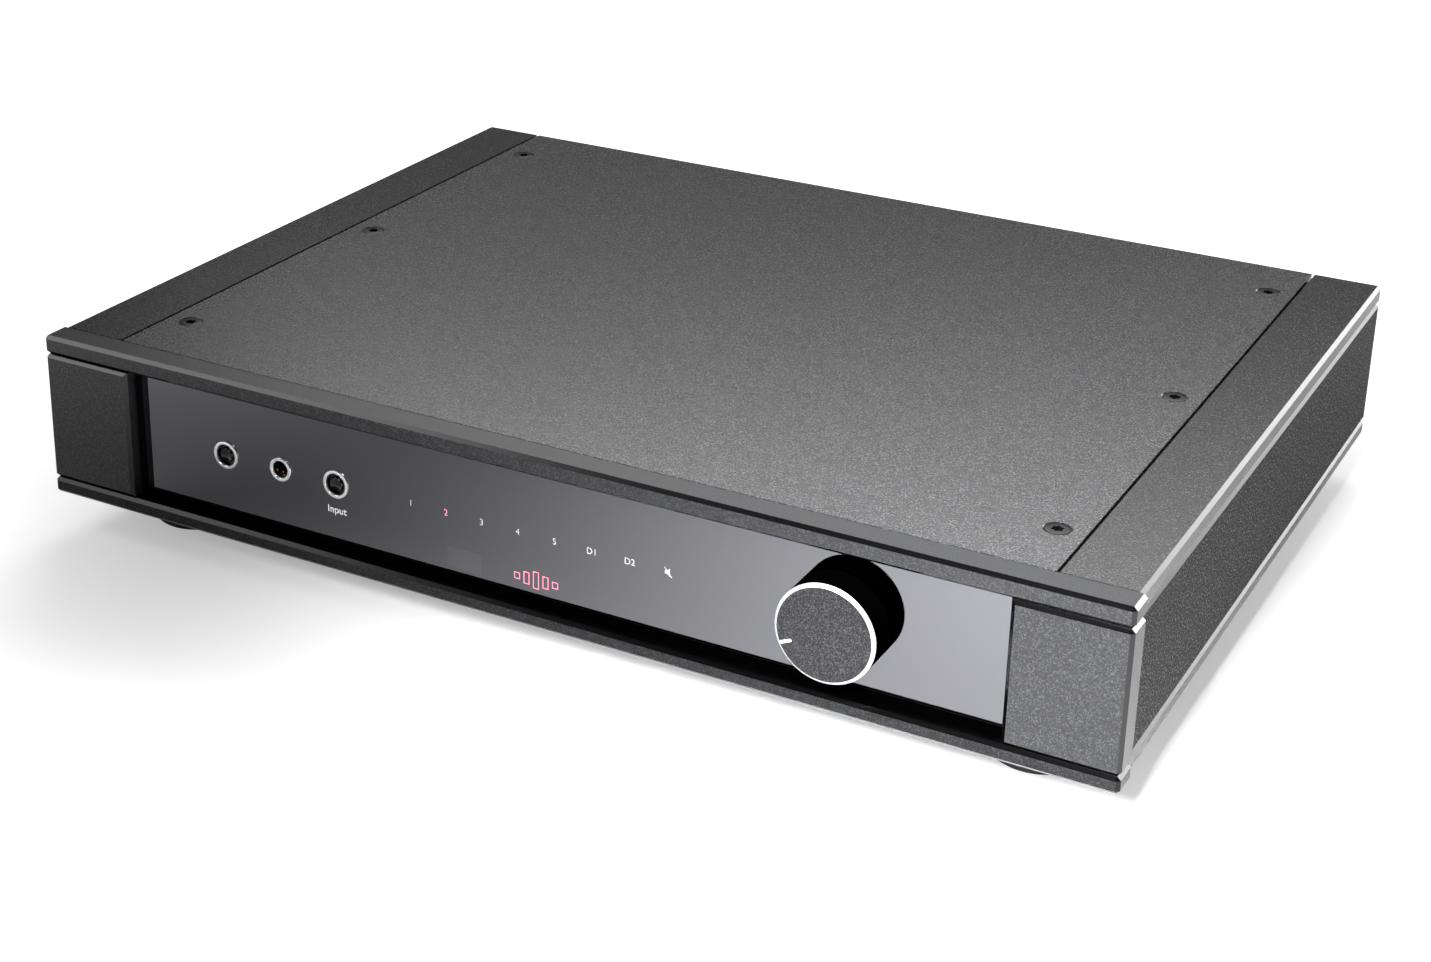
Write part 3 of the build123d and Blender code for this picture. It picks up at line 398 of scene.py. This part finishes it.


# Floor, air and lights

# the near values are a painted shadow: the floor's glow falls from farGlow to them towards the case
studio = {"floorSize": 14.0, "paintedShadowGlow": 0.11, "farGlow": 0.95, "paintedShadowStart": 0.3, "paintedShadowEnd": 0.6,
          "roomLight": 0.08, "backdrop": 1.0, "seenPaintedShadowGlow": 0.38, "seenPaintedShadowStart": 0.2, "seenPaintedShadowEnd": 0.38}
floorMesh = bmesh.new()
bmesh.ops.create_grid(floorMesh, x_segments=1, y_segments=1, size=studio["floorSize"])
floorData = bpy.data.meshes.new("floor")
floorMesh.to_mesh(floorData)
floorMesh.free()
floor = bpy.data.objects.new("floor", floorData)
scene.collection.objects.link(floor)
# white paper sweep: matt, with a faint tooth; its glow sinks towards the case as a painted shadow
paperWithPaintedShadow = newMaterial("mattWhitePaperSweepWithPaintedShadow", Base_Color="#ececec", Roughness=0.9, Specular_IOR_Level=0.2,
                    Emission_Color="#ffffff")
reach = addNode(paperWithPaintedShadow, "ShaderNodeVectorMath", {"operation": "LENGTH"},
                {0: objectPoints(paperWithPaintedShadow)}).outputs["Value"]
paintedShadowGlows = []
for start, end, paintedShadowLevel in ((studio["paintedShadowStart"], studio["paintedShadowEnd"], studio["paintedShadowGlow"]),
                          (studio["seenPaintedShadowStart"], studio["seenPaintedShadowEnd"], studio["seenPaintedShadowGlow"])):
    fade = {"interpolation_type": "SMOOTHSTEP", "From Min": start, "From Max": end, "To Min": paintedShadowLevel,
            "To Max": studio["farGlow"]}
    paintedShadowGlows.append(addNode(paperWithPaintedShadow, "ShaderNodeMapRange", fade, {"Value": reach}).outputs["Result"])
# painted shadow: the sheet's glow sinks towards the case, less deep for the lens than in what the case
# mirrors
lensRay = addNode(paperWithPaintedShadow, "ShaderNodeLightPath").outputs["Is Camera Ray"]
glowWithPaintedShadow = addNode(paperWithPaintedShadow, "ShaderNodeMix", {}, {0: lensRay, 2: paintedShadowGlows[0], 3: paintedShadowGlows[1]}).outputs[0]
feedShader(paperWithPaintedShadow, {"Normal": bumpOf(paperWithPaintedShadow, grainOf(paperWithPaintedShadow, objectPoints(paperWithPaintedShadow), 2.0), 0.05, 0.1),
                   "Emission Strength": glowWithPaintedShadow})
floorData.materials.append(paperWithPaintedShadow)

world = bpy.data.worlds.new("studioAir")
scene.world = world
world.use_nodes = True
air = world.node_tree
roomLight = air.nodes["Background"]
roomLight.inputs["Color"].default_value = (1, 1, 1, 1)
roomLight.inputs["Strength"].default_value = studio["roomLight"]
backdrop = air.nodes.new("ShaderNodeBackground")
backdrop.inputs["Color"].default_value = (1, 1, 1, 1)
backdrop.inputs["Strength"].default_value = studio["backdrop"]
rayKind = air.nodes.new("ShaderNodeLightPath")
blendAir = air.nodes.new("ShaderNodeMixShader")
air.links.new(rayKind.outputs["Is Camera Ray"], blendAir.inputs[0])
air.links.new(roomLight.outputs[0], blendAir.inputs[1])
air.links.new(backdrop.outputs[0], blendAir.inputs[2])
air.links.new(blendAir.outputs[0], air.nodes["World Output"].inputs["Surface"])
scene.view_settings.view_transform = "Standard"

# name: place, aim, width, height, watts, spread in degrees
softBoxes = {"overheadBack": ((-0.76, 2.05, 1.97), (0.0, 0.0, 0.1), 2.2, 1.2, 11.4, 100),
             "backRight": ((1.25, 2.3, 0.62), (0.2, 0.0, 0.05), 1.5, 0.5, 10, 100),
             "frontLeft": ((-1.5, -0.9, 1.75), (-0.1, -0.1, 0.1), 0.8, 0.8, 3, 120),
             "frontRight": ((0.16, -0.9, 0.6), (0.2, -0.26, 0.0), 0.25, 0.25, 2.1, 36)}
for name, (place, target, width, height, watts, spread) in softBoxes.items():
    light = bpy.data.lights.new(name, "AREA")
    light.shape = "RECTANGLE"
    light.size, light.size_y, light.energy = width, height, watts
    light.spread = radians(spread)
    lamp = bpy.data.objects.new(name, light)
    scene.collection.objects.link(lamp)
    lamp.location = place
    lamp.rotation_mode = "QUATERNION"
    lamp.rotation_quaternion = (Vector(target) - Vector(place)).to_track_quat("-Z", "Y")
    lamp.visible_camera = False
print("camera, floor and lights set")


# Fascia: a smoked sheet with a mirror coat, its window, indicators and print

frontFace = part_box("fascia")[0].y / mm
smokedMirror = newMaterial("mirrorBackedSmokedAcrylic", Base_Color="#6a6a6e", Metallic=1.0)
varyGloss(smokedMirror, 40.0, 0.02, 0.06)
dress(smokedMirror, "fascia")
windowTint = newMaterial("infraredWindowAcrylic", Base_Color="#717175", Metallic=1.0)
varyGloss(windowTint, 3.0, 0.02, 0.06)
paleInk = newMaterial("paleScreenPrintInk", Base_Color="#b8b8ba")
varyGloss(paleInk, 0.3, 0.45, 0.7)
litInk = newMaterial("litIndicatorFilm", Base_Color="#f08098", Emission_Color="#f2849c",
                     Emission_Strength=0.75)
varyGloss(litInk, 0.3, 0.4, 0.6)
whiteInk = newMaterial("whiteScreenPrintInk", Base_Color="#f4f4f4")
varyGloss(whiteInk, 0.3, 0.4, 0.6)

fascia = {"windowSize": (14.1, 8.0, 0.04), "windowPlace": (-29.85, 31.2), "print": 0.03, "printSink": 0.2,
          "labels": ("1", "2", "3", "4", "5", "D1", "D2"), "lit": "2", "labelHeight": 2.45,
          "labelPitch": 15.0, "labelStart": -52.5, "labelZ": 48.1, "wordHeight": 2.85,
          "wordPlace": (-85.3, 37.2), "wordBolder": 0.05, "slashSize": (4.6, 0.3), "slashAngle": -50,
          "speaker": ((-1.3, -0.6), (-0.5, -0.6), (0.7, -1.6), (0.7, 1.6), (-0.5, 0.6), (-1.3, 0.6)),
          "motifPlace": (0.0, 31.0), "bars": (2.6, 4.8, 6.8, 4.8, 2.6), "barPitch": 3.9, "barWidth": 2.4,
          "barLine": 0.42}
capitalShare = 0.7        # height of a capital letter in the font's size


def printedWord(word, height, place, thickness, facing="front", turn=0.0, bolder=0.0):
    # text drawn flat, thickened a little and stood up on the panel; place is (x, y, z)
    curve = bpy.data.curves.new("word", "FONT")
    curve.body = word
    curve.size = height * mm / capitalShare
    curve.align_x, curve.align_y = "CENTER", "CENTER"
    curve.extrude = thickness / 2 * mm
    curve.offset = bolder * mm
    holder = bpy.data.objects.new("word", curve)
    scene.collection.objects.link(holder)
    bpy.context.view_layer.update()
    data = bpy.data.meshes.new_from_object(holder)
    mesh = bmesh.new()
    mesh.from_mesh(data)
    bpy.data.objects.remove(holder)
    bpy.data.meshes.remove(data)
    bmesh.ops.remove_doubles(mesh, verts=mesh.verts, dist=0.001 * mm)
    return placed(mesh, place, facing, turn)


def flatShape(points, thickness):
    # a small printed outline of (x, up) points, thickened
    mesh = bmesh.new()
    mesh.faces.new([mesh.verts.new((x * mm, y * mm, 0)) for x, y in points])
    thicken(mesh, thickness)
    return mesh


printY = frontFace + fascia["print"] * fascia["printSink"]
unlit, lit = [], []
for number, label in enumerate(fascia["labels"]):
    x = fascia["labelStart"] + number * fascia["labelPitch"]
    word = printedWord(label, fascia["labelHeight"], (x, printY, fascia["labelZ"]), fascia["print"])
    (lit if label == fascia["lit"] else unlit).append(word)
muteX = fascia["labelStart"] + len(fascia["labels"]) * fascia["labelPitch"]
mutePlace = (muteX, frontFace, fascia["labelZ"])
unlit.append(placed(flatShape(fascia["speaker"], fascia["print"]), mutePlace))
slash = boxShape((*fascia["slashSize"], fascia["print"]), (0, 0, fascia["print"]))
bmesh.ops.rotate(slash, matrix=Matrix.Rotation(radians(fascia["slashAngle"]), 3, "Z"), verts=slash.verts)
unlit.append(placed(slash, mutePlace))
addPiece("indicatorLabels", joined(unlit), [paleInk])

motifX, motifZ = fascia["motifPlace"]
middleBar = (len(fascia["bars"]) - 1) / 2
for number, height in enumerate(fascia["bars"]):
    bar = bmesh.new()
    bmesh.ops.create_grid(bar, x_segments=1, y_segments=1, size=0.5)
    bmesh.ops.scale(bar, vec=(fascia["barWidth"] * mm, height * mm, 1), verts=bar.verts)
    outline = bmesh.ops.inset_region(bar, faces=bar.faces[:], thickness=fascia["barLine"] * mm,
                                     use_boundary=True)["faces"]
    core = [face for face in bar.faces if face not in outline]
    bmesh.ops.delete(bar, geom=core, context="FACES")
    thicken(bar, fascia["print"])
    lit.append(placed(bar, (motifX + (number - middleBar) * fascia["barPitch"], frontFace, motifZ)))
addPiece("litIndicators", joined(lit), [litInk])
wordX, wordZ = fascia["wordPlace"]
inputWord = printedWord("Input", fascia["wordHeight"], (wordX, printY, wordZ), fascia["print"],
                        bolder=fascia["wordBolder"])
addPiece("inputWord", inputWord, [whiteInk])
windowX, windowZ = fascia["windowPlace"]
addPiece("infraredWindow", placed(boxShape(fascia["windowSize"]), (windowX, frontFace, windowZ)),
         [windowTint])
print("fascia done")


# Volume knob: turned aluminium, charcoal face, diamond-cut rim and an inlaid pointer

knobLow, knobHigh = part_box("volume_knob")
knob = {"radius": (knobHigh.x - knobLow.x) / 2 / mm, "length": (knobHigh.y - knobLow.y) / mm, "rim": 1.05,
        "faceSink": 0.16, "backEdge": 0.5, "rimStep": (0.12, 0.28), "faceMargin": 0.2, "lathePitch": 0.35,
        "pointerAngle": 114.0, "pointerSize": (1.1, 4.3, 0.24), "pointerGap": 0.3, "pointerSink": 0.09}
knobPlace = ((knobLow.x + knobHigh.x) / 2 / mm, knobHigh.y / mm, (knobLow.z + knobHigh.z) / 2 / mm)
knobBlack = newMaterial("satinBlackAnodisedAluminium", Base_Color="#020202", Specular_IOR_Level=0.0)
lathePoints = objectPoints(knobBlack)
latheLines = {"wave_type": "BANDS", "bands_direction": "Y", "Scale": 1 / (knob["lathePitch"] * mm * 20),
              "Distortion": 0.4}
lathe = addNode(knobBlack, "ShaderNodeTexWave", latheLines, {"Vector": lathePoints})
feedShader(knobBlack, {"Normal": bumpOf(knobBlack, lathe.outputs["Fac"], 0.08, 0.02),
                       "Roughness": stretchOf(knobBlack, grainOf(knobBlack, lathePoints, 1.0), 0.42, 0.55)})
knobFace = powderCoat("beadBlastedAnodisedAluminium",
                      [(0.38, "#060607"), (0.5, "#121214"), (0.66, "#48484c")],
                      grain=0.45, gloss=0.5, strength=0.5, Specular_IOR_Level=0.3)
r, length, rim, sink, edge = (knob[key] for key in ("radius", "length", "rim", "faceSink", "backEdge"))
stepStart, stepEnd = knob["rimStep"]
knobOutline = [(0, 0), (r - edge, 0), (r, edge), (r, length - rim), (r - rim, length),
               (r - rim - stepStart, length), (r - rim - stepEnd, length - sink), (r * 0.5, length - sink),
               (0, length - sink)]
knobMesh = turned(knobOutline, 128)
faceEdge = r - rim - knob["faceMargin"]
paint(knobMesh, 1, lambda c, n: c.z > length - rim and n.z > 0.3 and c.xy.length > faceEdge)
paint(knobMesh, 2, lambda c, n: c.z > length - sink - 0.01 and c.xy.length < faceEdge)
addPiece("volumeKnob", placed(knobMesh, knobPlace), [knobBlack, diamondCut, knobFace], "volume",
         ["volume_knob"], smooth=25)
pointerWidth, pointerLength, pointerThickness = knob["pointerSize"]
pointer = boxShape(knob["pointerSize"])
innerEdges = [e for e in pointer.edges if all(v.co.y < 0 for v in e.verts)
              and abs(e.verts[0].co.z - e.verts[1].co.z) > pointerThickness / 2 * mm]
bmesh.ops.bevel(pointer, geom=innerEdges, offset=pointerWidth * 0.49 * mm, segments=6, profile=0.5,
                affect="EDGES", material=-1)
pointerReach = r - rim - knob["pointerGap"] - pointerLength / 2
bmesh.ops.translate(pointer, vec=(0, pointerReach * mm, (length - sink - knob["pointerSink"]) * mm),
                    verts=pointer.verts)
addPiece("knobPointer", placed(pointer, knobPlace, "front", knob["pointerAngle"]), [whiteInk], "volume")
print("knob done")


# Push buttons in their plated rings, and the headphone socket

buttons = {"ringOuter": 5.5, "ringBore": 4.3, "ringProud": 0.7, "ringDepth": 6.0, "capDip": 0.8,
           # how far out and how deep the dished cap runs, as shares of its radius and its dip
           "dish": ((0.25, 0.9), (0.45, 0.6), (0.58, 0.25), (0.63, 0.15), (0.68, 0.3), (0.76, 1.3),
                    (0.86, 1.3))}
ringsLow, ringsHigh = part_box("button_rings")
controlZ = (ringsLow.z + ringsHigh.z) / 2 / mm
powerX = ringsLow.x / mm + buttons["ringOuter"]
inputX = ringsHigh.x / mm - buttons["ringOuter"]


def platedRing(outer, bore, proud, depth):
    return turned([(bore, -depth), (outer - 0.5, -depth), (outer - 0.5, -0.02), (outer, 0.0),
                   (outer, proud - 0.22), (outer - 0.06, proud - 0.06), (outer - 0.22, proud),
                   (bore + 0.14, proud), (bore, proud - 0.14)], 96)


rings = [placed(platedRing(*(buttons[key] for key in ("ringOuter", "ringBore", "ringProud", "ringDepth"))),
                (x, frontFace, controlZ)) for x in (powerX, inputX)]
addPiece("buttonRings", joined(rings), [chrome], "chassis", ["button_rings"], smooth=40)
for body, x in (("power_button", powerX), ("input_button", inputX)):
    low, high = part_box(body)
    front = -low.y / mm + frontFace
    radius = (high.x - low.x) / 2 / mm
    back = front - (high.y - low.y) / mm
    dip = buttons["capDip"]
    dish = [(0, front - dip)]
    dish += [(radius * out, front - dip * down) for out, down in buttons["dish"]]
    dish += [(radius * 0.93, front - 0.05), (radius * 0.96, front), (radius, front - 0.15), (radius, back),
             (0, back)]
    addPiece(body.replace("_b", "B") + "Cap", placed(turned(dish, 96), (x, frontFace, controlZ)),
             [glossButton], body, [body], smooth=40)

jackLow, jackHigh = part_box("headphone_ring")
jackX = (jackLow.x + jackHigh.x) / 2 / mm
jackRing = (jackHigh.x - jackLow.x) / 2 / mm
jack = {"bore": 3.3, "proud": 0.7, "contacts": 5, "contactAngle": 205.0, "contactPitch": 38.0,
        "leafSize": (1.25, 0.6, 6.0), "leafReach": 2.85, "leafDepth": 4.2, "leafStagger": 1.6,
        "leafRounding": 0.2}
bore, proud = jack["bore"], jack["proud"]
jackMesh = turned([(bore, 0.0), (jackRing, 0.0), (jackRing, 0.42), (jackRing - 0.12, 0.6),
                   (jackRing - 0.35, proud), (bore + 0.45, proud), (bore + 0.12, 0.5), (bore, 0.2)], 96)
addPiece("headphoneRing", placed(jackMesh, (jackX, frontFace, controlZ)), [chrome], "chassis",
         ["headphone_ring"], smooth=40)
leaves = []
for number in range(jack["contacts"]):
    depth = jack["leafDepth"] + jack["leafStagger"] * (number % 2)
    leaf = boxShape(jack["leafSize"], (0, jack["leafReach"], -depth), jack["leafRounding"])
    around = radians(jack["contactAngle"] + jack["contactPitch"] * number - 90)
    bmesh.ops.rotate(leaf, matrix=Matrix.Rotation(around, 3, "Z"), verts=leaf.verts)
    leaves.append(placed(leaf, (jackX, frontFace, controlZ)))
addPiece("headphoneContacts", joined(leaves), [springBrass])
print("buttons and headphone socket done")


# Screw heads with a six-lobe or cross recess

blackScrew = newMaterial("blackOxidisedSteel", Metallic=0.6, Base_Color="#1a1a1c")
varyGloss(blackScrew, 0.4, 0.22, 0.42)
domeRings = ((0.04, 0.45), (0.10, 0.33), (0.22, 0.17), (0.16, 0.05))        # inset in radii, rise in domes
lobeDepth = 0.17


def screwHead(size, lobes=6):
    # top at z 0: a circle is inset into a rounded head, its middle takes the recess, and the rim grows down
    mesh = bmesh.new()
    bmesh.ops.create_circle(mesh, cap_ends=True, segments=48, radius=size["radius"] * mm)
    bmesh.ops.translate(mesh, vec=(0, 0, -size["dome"] * mm), verts=mesh.verts)
    rim = mesh.edges[:]
    mesh.faces.ensure_lookup_table()
    middle = mesh.faces[0]
    for share, rise in domeRings:
        bmesh.ops.inset_region(mesh, faces=[middle], thickness=size["radius"] * share * mm,
                               depth=size["dome"] * rise * mm, use_boundary=True)
    for vert in middle.verts:
        angle = vert.co.to_2d().angle_signed(Vector((1, 0)))
        reach = size["recess"] * (1 + lobeDepth * cos(lobes * angle))
        vert.co.xy = vert.co.xy.normalized() * reach * mm
    floorPart = bmesh.ops.extrude_face_region(mesh, geom=[middle])["geom"]
    bmesh.ops.translate(mesh, vec=(0, 0, -size["depth"] * mm), verts=vertsIn(floorPart))
    bmesh.ops.delete(mesh, geom=[middle], context="FACES_ONLY")
    edges = rim
    for down, width in ((size["height"], size["radius"]), (size["cone"], size["shankRadius"]),
                        (size["shank"], size["shankRadius"])):
        grown = bmesh.ops.extrude_edge_only(mesh, edges=edges)["geom"]
        for vert in vertsIn(grown):
            flat = vert.co.xy.normalized() * width * mm
            vert.co = (flat.x, flat.y, vert.co.z - down * mm)
        edges = [part for part in grown if isinstance(part, bmesh.types.BMEdge) and part.is_boundary]
    bmesh.ops.contextual_create(mesh, geom=edges)
    tidyShape(mesh)
    return mesh


screwsLow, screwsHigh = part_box("lid_screws")
lidScrew = {"radius": 4.75, "dome": 0.3, "height": 0.2, "cone": 2.2, "recess": 1.95, "depth": 1.7,
            "shank": 6.0, "shankRadius": 2.4, "turn": 7.0}
screwX, rearScrewY = screwsHigh.x / mm - lidScrew["radius"], screwsHigh.y / mm - lidScrew["radius"]
frontScrewY = screwsLow.y / mm + lidScrew["radius"]
heads = [placed(screwHead(lidScrew), (x, y, screwsHigh.z / mm), "up", lidScrew["turn"] * x + y)
         for x in (-screwX, screwX) for y in (frontScrewY, (frontScrewY + rearScrewY) / 2, rearScrewY)]
addPiece("lidScrews", joined(heads), [blackScrew], "chassis", ["lid_screws"], smooth=30)

sockets = {"columns": 6, "pitch": 17.0, "firstX": 18.0, "rows": (40.0, 56.0), "coaxialX": 136.0,
           "shell": 4.15, "wall": 0.65, "flange": 5.3, "flangeDepth": 1.0, "length": 9.5, "contact": 1.6,
           "contactBore": 1.1, "sunk": 2.0}
columnX = [sockets["firstX"] + sockets["pitch"] * column for column in range(sockets["columns"])]
lowRow, highRow = sockets["rows"]
panelScrew = {"radius": 2.8, "dome": 1.3, "height": 0.5, "cone": 0.01, "recess": 1.25, "depth": 1.1,
              "shank": 5.0, "shankRadius": 1.4, "inletReach": 20.0, "turn": 20.0}
inletLow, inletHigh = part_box("mains_inlet")
inletX, inletZ = (inletLow.x + inletHigh.x) / 2 / mm, (inletLow.z + inletHigh.z) / 2 / mm
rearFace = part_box("rear_panel")[1].y / mm
headHeight = panelScrew["dome"] + panelScrew["height"]
screwPlaces = [(inletX + side * panelScrew["inletReach"], inletHigh.y / mm + headHeight, inletZ)
               for side in (-1, 1)]
screwPlaces += [(x + sockets["pitch"] / 2, rearFace + headHeight, (lowRow + highRow) / 2)
                for x in columnX[::2]]
heads = [placed(screwHead(panelScrew, 4), place, "rear", panelScrew["turn"] * place[0])
         for place in screwPlaces]
addPiece("rearPanelScrews", joined(heads), [blackScrew], "chassis", ["rear_screws"], smooth=35)
print("screws done")


# Feet: moulded rubber with a screw in a well

feetLow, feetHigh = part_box("feet")
foot = {"radius": 19.0, "height": feetHigh.z / mm, "well": 6.2, "wellDepth": 5.0, "hole": 3.0}
footX, footBackY = feetHigh.x / mm - foot["radius"], feetHigh.y / mm - foot["radius"]
footFrontY = feetLow.y / mm + foot["radius"]
footPlaces = [(x, y, 0) for x in (-footX, footX) for y in (footFrontY, footBackY)]
radius, top, well = foot["radius"], foot["height"], foot["well"]
footOutline = [(well, foot["wellDepth"]), (well, 1.2), (well + 0.5, 0.4), (well + 1.4, 0), (radius * 0.55, 0),
               (radius * 0.57, 0.5), (radius * 0.62, 0.5), (radius * 0.64, 0), (radius - 3.2, 0),
               (radius - 2.2, 0.25), (radius - 1.4, 0.9), (radius - 1.1, 2.0), (radius - 0.3, top * 0.6),
               (radius, top * 0.7), (radius, top - 0.8), (radius - 0.6, top), (foot["hole"], top),
               (foot["hole"], foot["wellDepth"])]
addPiece("feetRubber", turnedAt(footOutline, 72, footPlaces, "up"), [rubber], "chassis", ["feet"],
         smooth=38)
footScrew = {"radius": 5.0, "dome": 1.4, "height": 0.6, "cone": 0.01, "recess": 2.2, "depth": 1.6,
             "shank": 12.6, "shankRadius": 2.0}
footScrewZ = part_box("foot_screws")[0].z / mm
heads = [placed(screwHead(footScrew, 4), (x, y, footScrewZ), "down", x) for x, y, z in footPlaces]
addPiece("footScrews", joined(heads), [zincSteel], "chassis", ["foot_screws"], smooth=35)


# Line sockets: plated shells round coloured insulators, with a sprung centre contact

socketPlaces = [(x, rearFace, z) for x in columnX for z in sockets["rows"]]
socketPlaces.append((sockets["coaxialX"], rearFace, lowRow))
outer, inner = sockets["shell"], sockets["shell"] - sockets["wall"]
start, end, below = sockets["flangeDepth"], sockets["length"], -sockets["sunk"]
shellOutline = [(inner, start), (outer, start), (outer, end - 1.6), (outer - 0.12, end - 1.45),
                (outer - 0.12, end - 1.25), (outer, end - 1.1), (outer, end - 0.25), (outer - 0.25, end),
                (inner + 0.15, end), (inner, end - 0.2)]
addPiece("lineSocketShells", turnedAt(shellOutline, 48, socketPlaces, "rear"), [nickel], "chassis",
         ["rca_shells"], smooth=35)
core, contact, flange = inner - 0.05, sockets["contact"], sockets["flange"]
insulatorOutline = [(contact, below), (outer + 0.5, below), (outer + 0.5, 0), (flange, 0),
                    (flange, start - 0.25), (flange - 0.25, start), (core, start), (core, end - 1.25),
                    (core - 0.25, end - 1.0), (contact + 0.3, end - 1.0), (contact, end - 1.3)]
insulators = []
for x, y, z in socketPlaces:
    ring = turned(insulatorOutline, 48)
    paint(ring, 2 if x == sockets["coaxialX"] else 0 if z == highRow else 1)
    insulators.append(placed(ring, (x, y, z), "rear"))
addPiece("lineSocketInsulators", joined(insulators), [whiteNylon, redNylon, orangeNylon], "chassis",
         ["rca_insulators"], smooth=35)
hole = sockets["contactBore"]
contactOutline = [(hole, below), (contact - 0.03, below), (contact - 0.03, end - 1.6),
                  (contact - 0.15, end - 1.45), (hole + 0.1, end - 1.5), (hole, end - 1.7)]
addPiece("lineSocketContacts", turnedAt(contactOutline, 24, socketPlaces, "rear"), [springBrass])


# Speaker terminals: threaded posts, pressure washers and fluted caps that unscrew

terminals = {"flange": 8.0, "flangeDepth": 1.8, "collar": 5.2, "collarDepth": 4.0, "stud": 4.0, "bore": 2.05,
             "boreDepth": 24.0, "pitch": 1.25, "threadStart": 0.6, "threadDepth": 0.3, "threadClear": 1.5,
             "washerBore": 4.1, "washerEdge": 0.3, "capBore": 4.15, "capInsert": 5.0, "flutes": 14,
             "fluteDepth": 0.55, "fluteRim": 0.3, "fluteEnds": (1.1, 8.3)}
terminalPlaces = []
for number in range(1, 5):
    low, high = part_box(f"terminal_washer_{number}")
    terminalPlaces.append(((low.x + high.x) / 2 / mm, (low.z + high.z) / 2 / mm))
stud, collar, flange = terminals["stud"], terminals["collar"], terminals["flange"]
below, top = -terminals["collarDepth"], terminals["flangeDepth"]
baseOutline = [(stud + 0.1, below), (collar, below), (collar, 0), (flange, 0), (flange, top - 0.5),
               (flange - 0.15, top - 0.15), (flange - 0.5, top), (stud + 0.1, top)]
bases = []
for number, (x, z) in enumerate(terminalPlaces):
    base = turned(baseOutline, 64)
    paint(base, number % 2)
    bases.append(placed(base, (x, rearFace, z), "rear"))
addPiece("terminalBases", joined(bases), [capBlack, capRed], "chassis", ["terminal_bases"],
         smooth=35)
studLow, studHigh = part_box("terminal_studs")
studLength = (studHigh.y - studLow.y) / mm
studOutline = [(0, 0), (stud, 0)]
for turn in range(int((studLength - terminals["threadClear"]) / terminals["pitch"])):
    along = terminals["threadStart"] + turn * terminals["pitch"]
    studOutline += [(stud, along), (stud - terminals["threadDepth"], along + 0.45), (stud, along + 0.9)]
bore, boreEnd = terminals["bore"], studLength - terminals["boreDepth"]
studOutline += [(stud, studLength - 0.4), (stud - 0.4, studLength), (bore + 0.3, studLength),
                (bore, studLength - 0.3), (bore, boreEnd), (0, boreEnd)]
studPlaces = [(x, studLow.y / mm, z) for x, z in terminalPlaces]
addPiece("terminalStuds", turnedAt(studOutline, 48, studPlaces, "rear"), [goldPlate], "chassis",
         ["terminal_studs"], smooth=30)
hole, edge = terminals["washerBore"], terminals["washerEdge"]
capBore, insert = terminals["capBore"], terminals["capInsert"]
fluteStart, fluteEnd = terminals["fluteEnds"]
for number, (x, z) in enumerate(terminalPlaces, start=1):
    washer, cap = f"terminal_washer_{number}", f"terminal_cap_{number}"
    low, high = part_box(washer)
    thickness, radius = (high.y - low.y) / mm, (high.x - low.x) / 2 / mm
    ring = turned([(hole, 0), (radius - edge, 0), (radius, edge), (radius, thickness - edge),
                   (radius - edge, thickness), (hole, thickness)], 64)
    addPiece(f"terminalWasher{number}", placed(ring, (x, low.y / mm, z), "rear"), [goldPlate], washer,
             [washer], smooth=35)
    low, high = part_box(cap)
    radius, length = (high.z - low.z) / 2 / mm, (high.y - low.y) / mm
    grip = turned([(capBore, 0), (radius - 0.8, 0), (radius - 0.2, 0.25), (radius, 0.8), (radius, 1.4),
                   (radius, 4.0), (radius, 7.4), (radius, 8.0), (radius - 0.35, 8.7), (radius - 0.8, 9.6),
                   (radius - 1.1, length - 0.3), (radius - 1.4, length), (insert + 0.1, length),
                   (insert, length - 0.25), (capBore, length - 0.25)], 140)
    for vert in grip.verts:
        reach = vert.co.xy.length / mm
        if reach > radius - terminals["fluteRim"] and fluteStart < vert.co.z / mm < fluteEnd:
            wave = 0.5 + 0.5 * cos(terminals["flutes"] * vert.co.to_2d().angle_signed(Vector((1, 0))))
            vert.co.xy *= 1 - terminals["fluteDepth"] * wave ** 3 / radius
    paint(grip, 1, lambda c, n: c.xy.length < insert + 0.05)
    plastic, plasticSlot = (capRed, "red_plastic") if number % 2 == 0 else (capBlack, "cap_black")
    addPiece(f"terminalCap{number}", placed(grip, (x, low.y / mm, z), "rear"), [plastic, goldPlate], cap,
             [cap], smooth=35)

# plain marks beside the sockets
rearPrint = {"sink": 0.006, "thickness": 0.03, "numbers": 5, "numberZ": 66.0, "channelX": 8.5,
             "digitalX": 149.0, "polarityX": -76.5, "speakerZ": 70.5}
marks = [(str(column + 1), (columnX[column], rearPrint["numberZ"]), 3.0)
         for column in range(rearPrint["numbers"])]
marks += [("L", (rearPrint["channelX"], highRow), 3.2), ("R", (rearPrint["channelX"], lowRow), 3.2),
          ("D1", (rearPrint["digitalX"], lowRow), 2.8), ("D2", (rearPrint["digitalX"], highRow), 2.8),
          ("+", (rearPrint["polarityX"], 57.0), 4.0), ("-", (rearPrint["polarityX"], 37.0), 4.0),
          ("L", (-58.0, rearPrint["speakerZ"]), 3.2), ("R", (-95.0, rearPrint["speakerZ"]), 3.2)]
printY = rearFace + rearPrint["sink"]
words = [printedWord(text, height, (x, printY, z), rearPrint["thickness"], "rear", 180.0)
         for text, (x, z), height in marks]
addPiece("rearMarks", joined(words), [paleInk])
print("rear done")
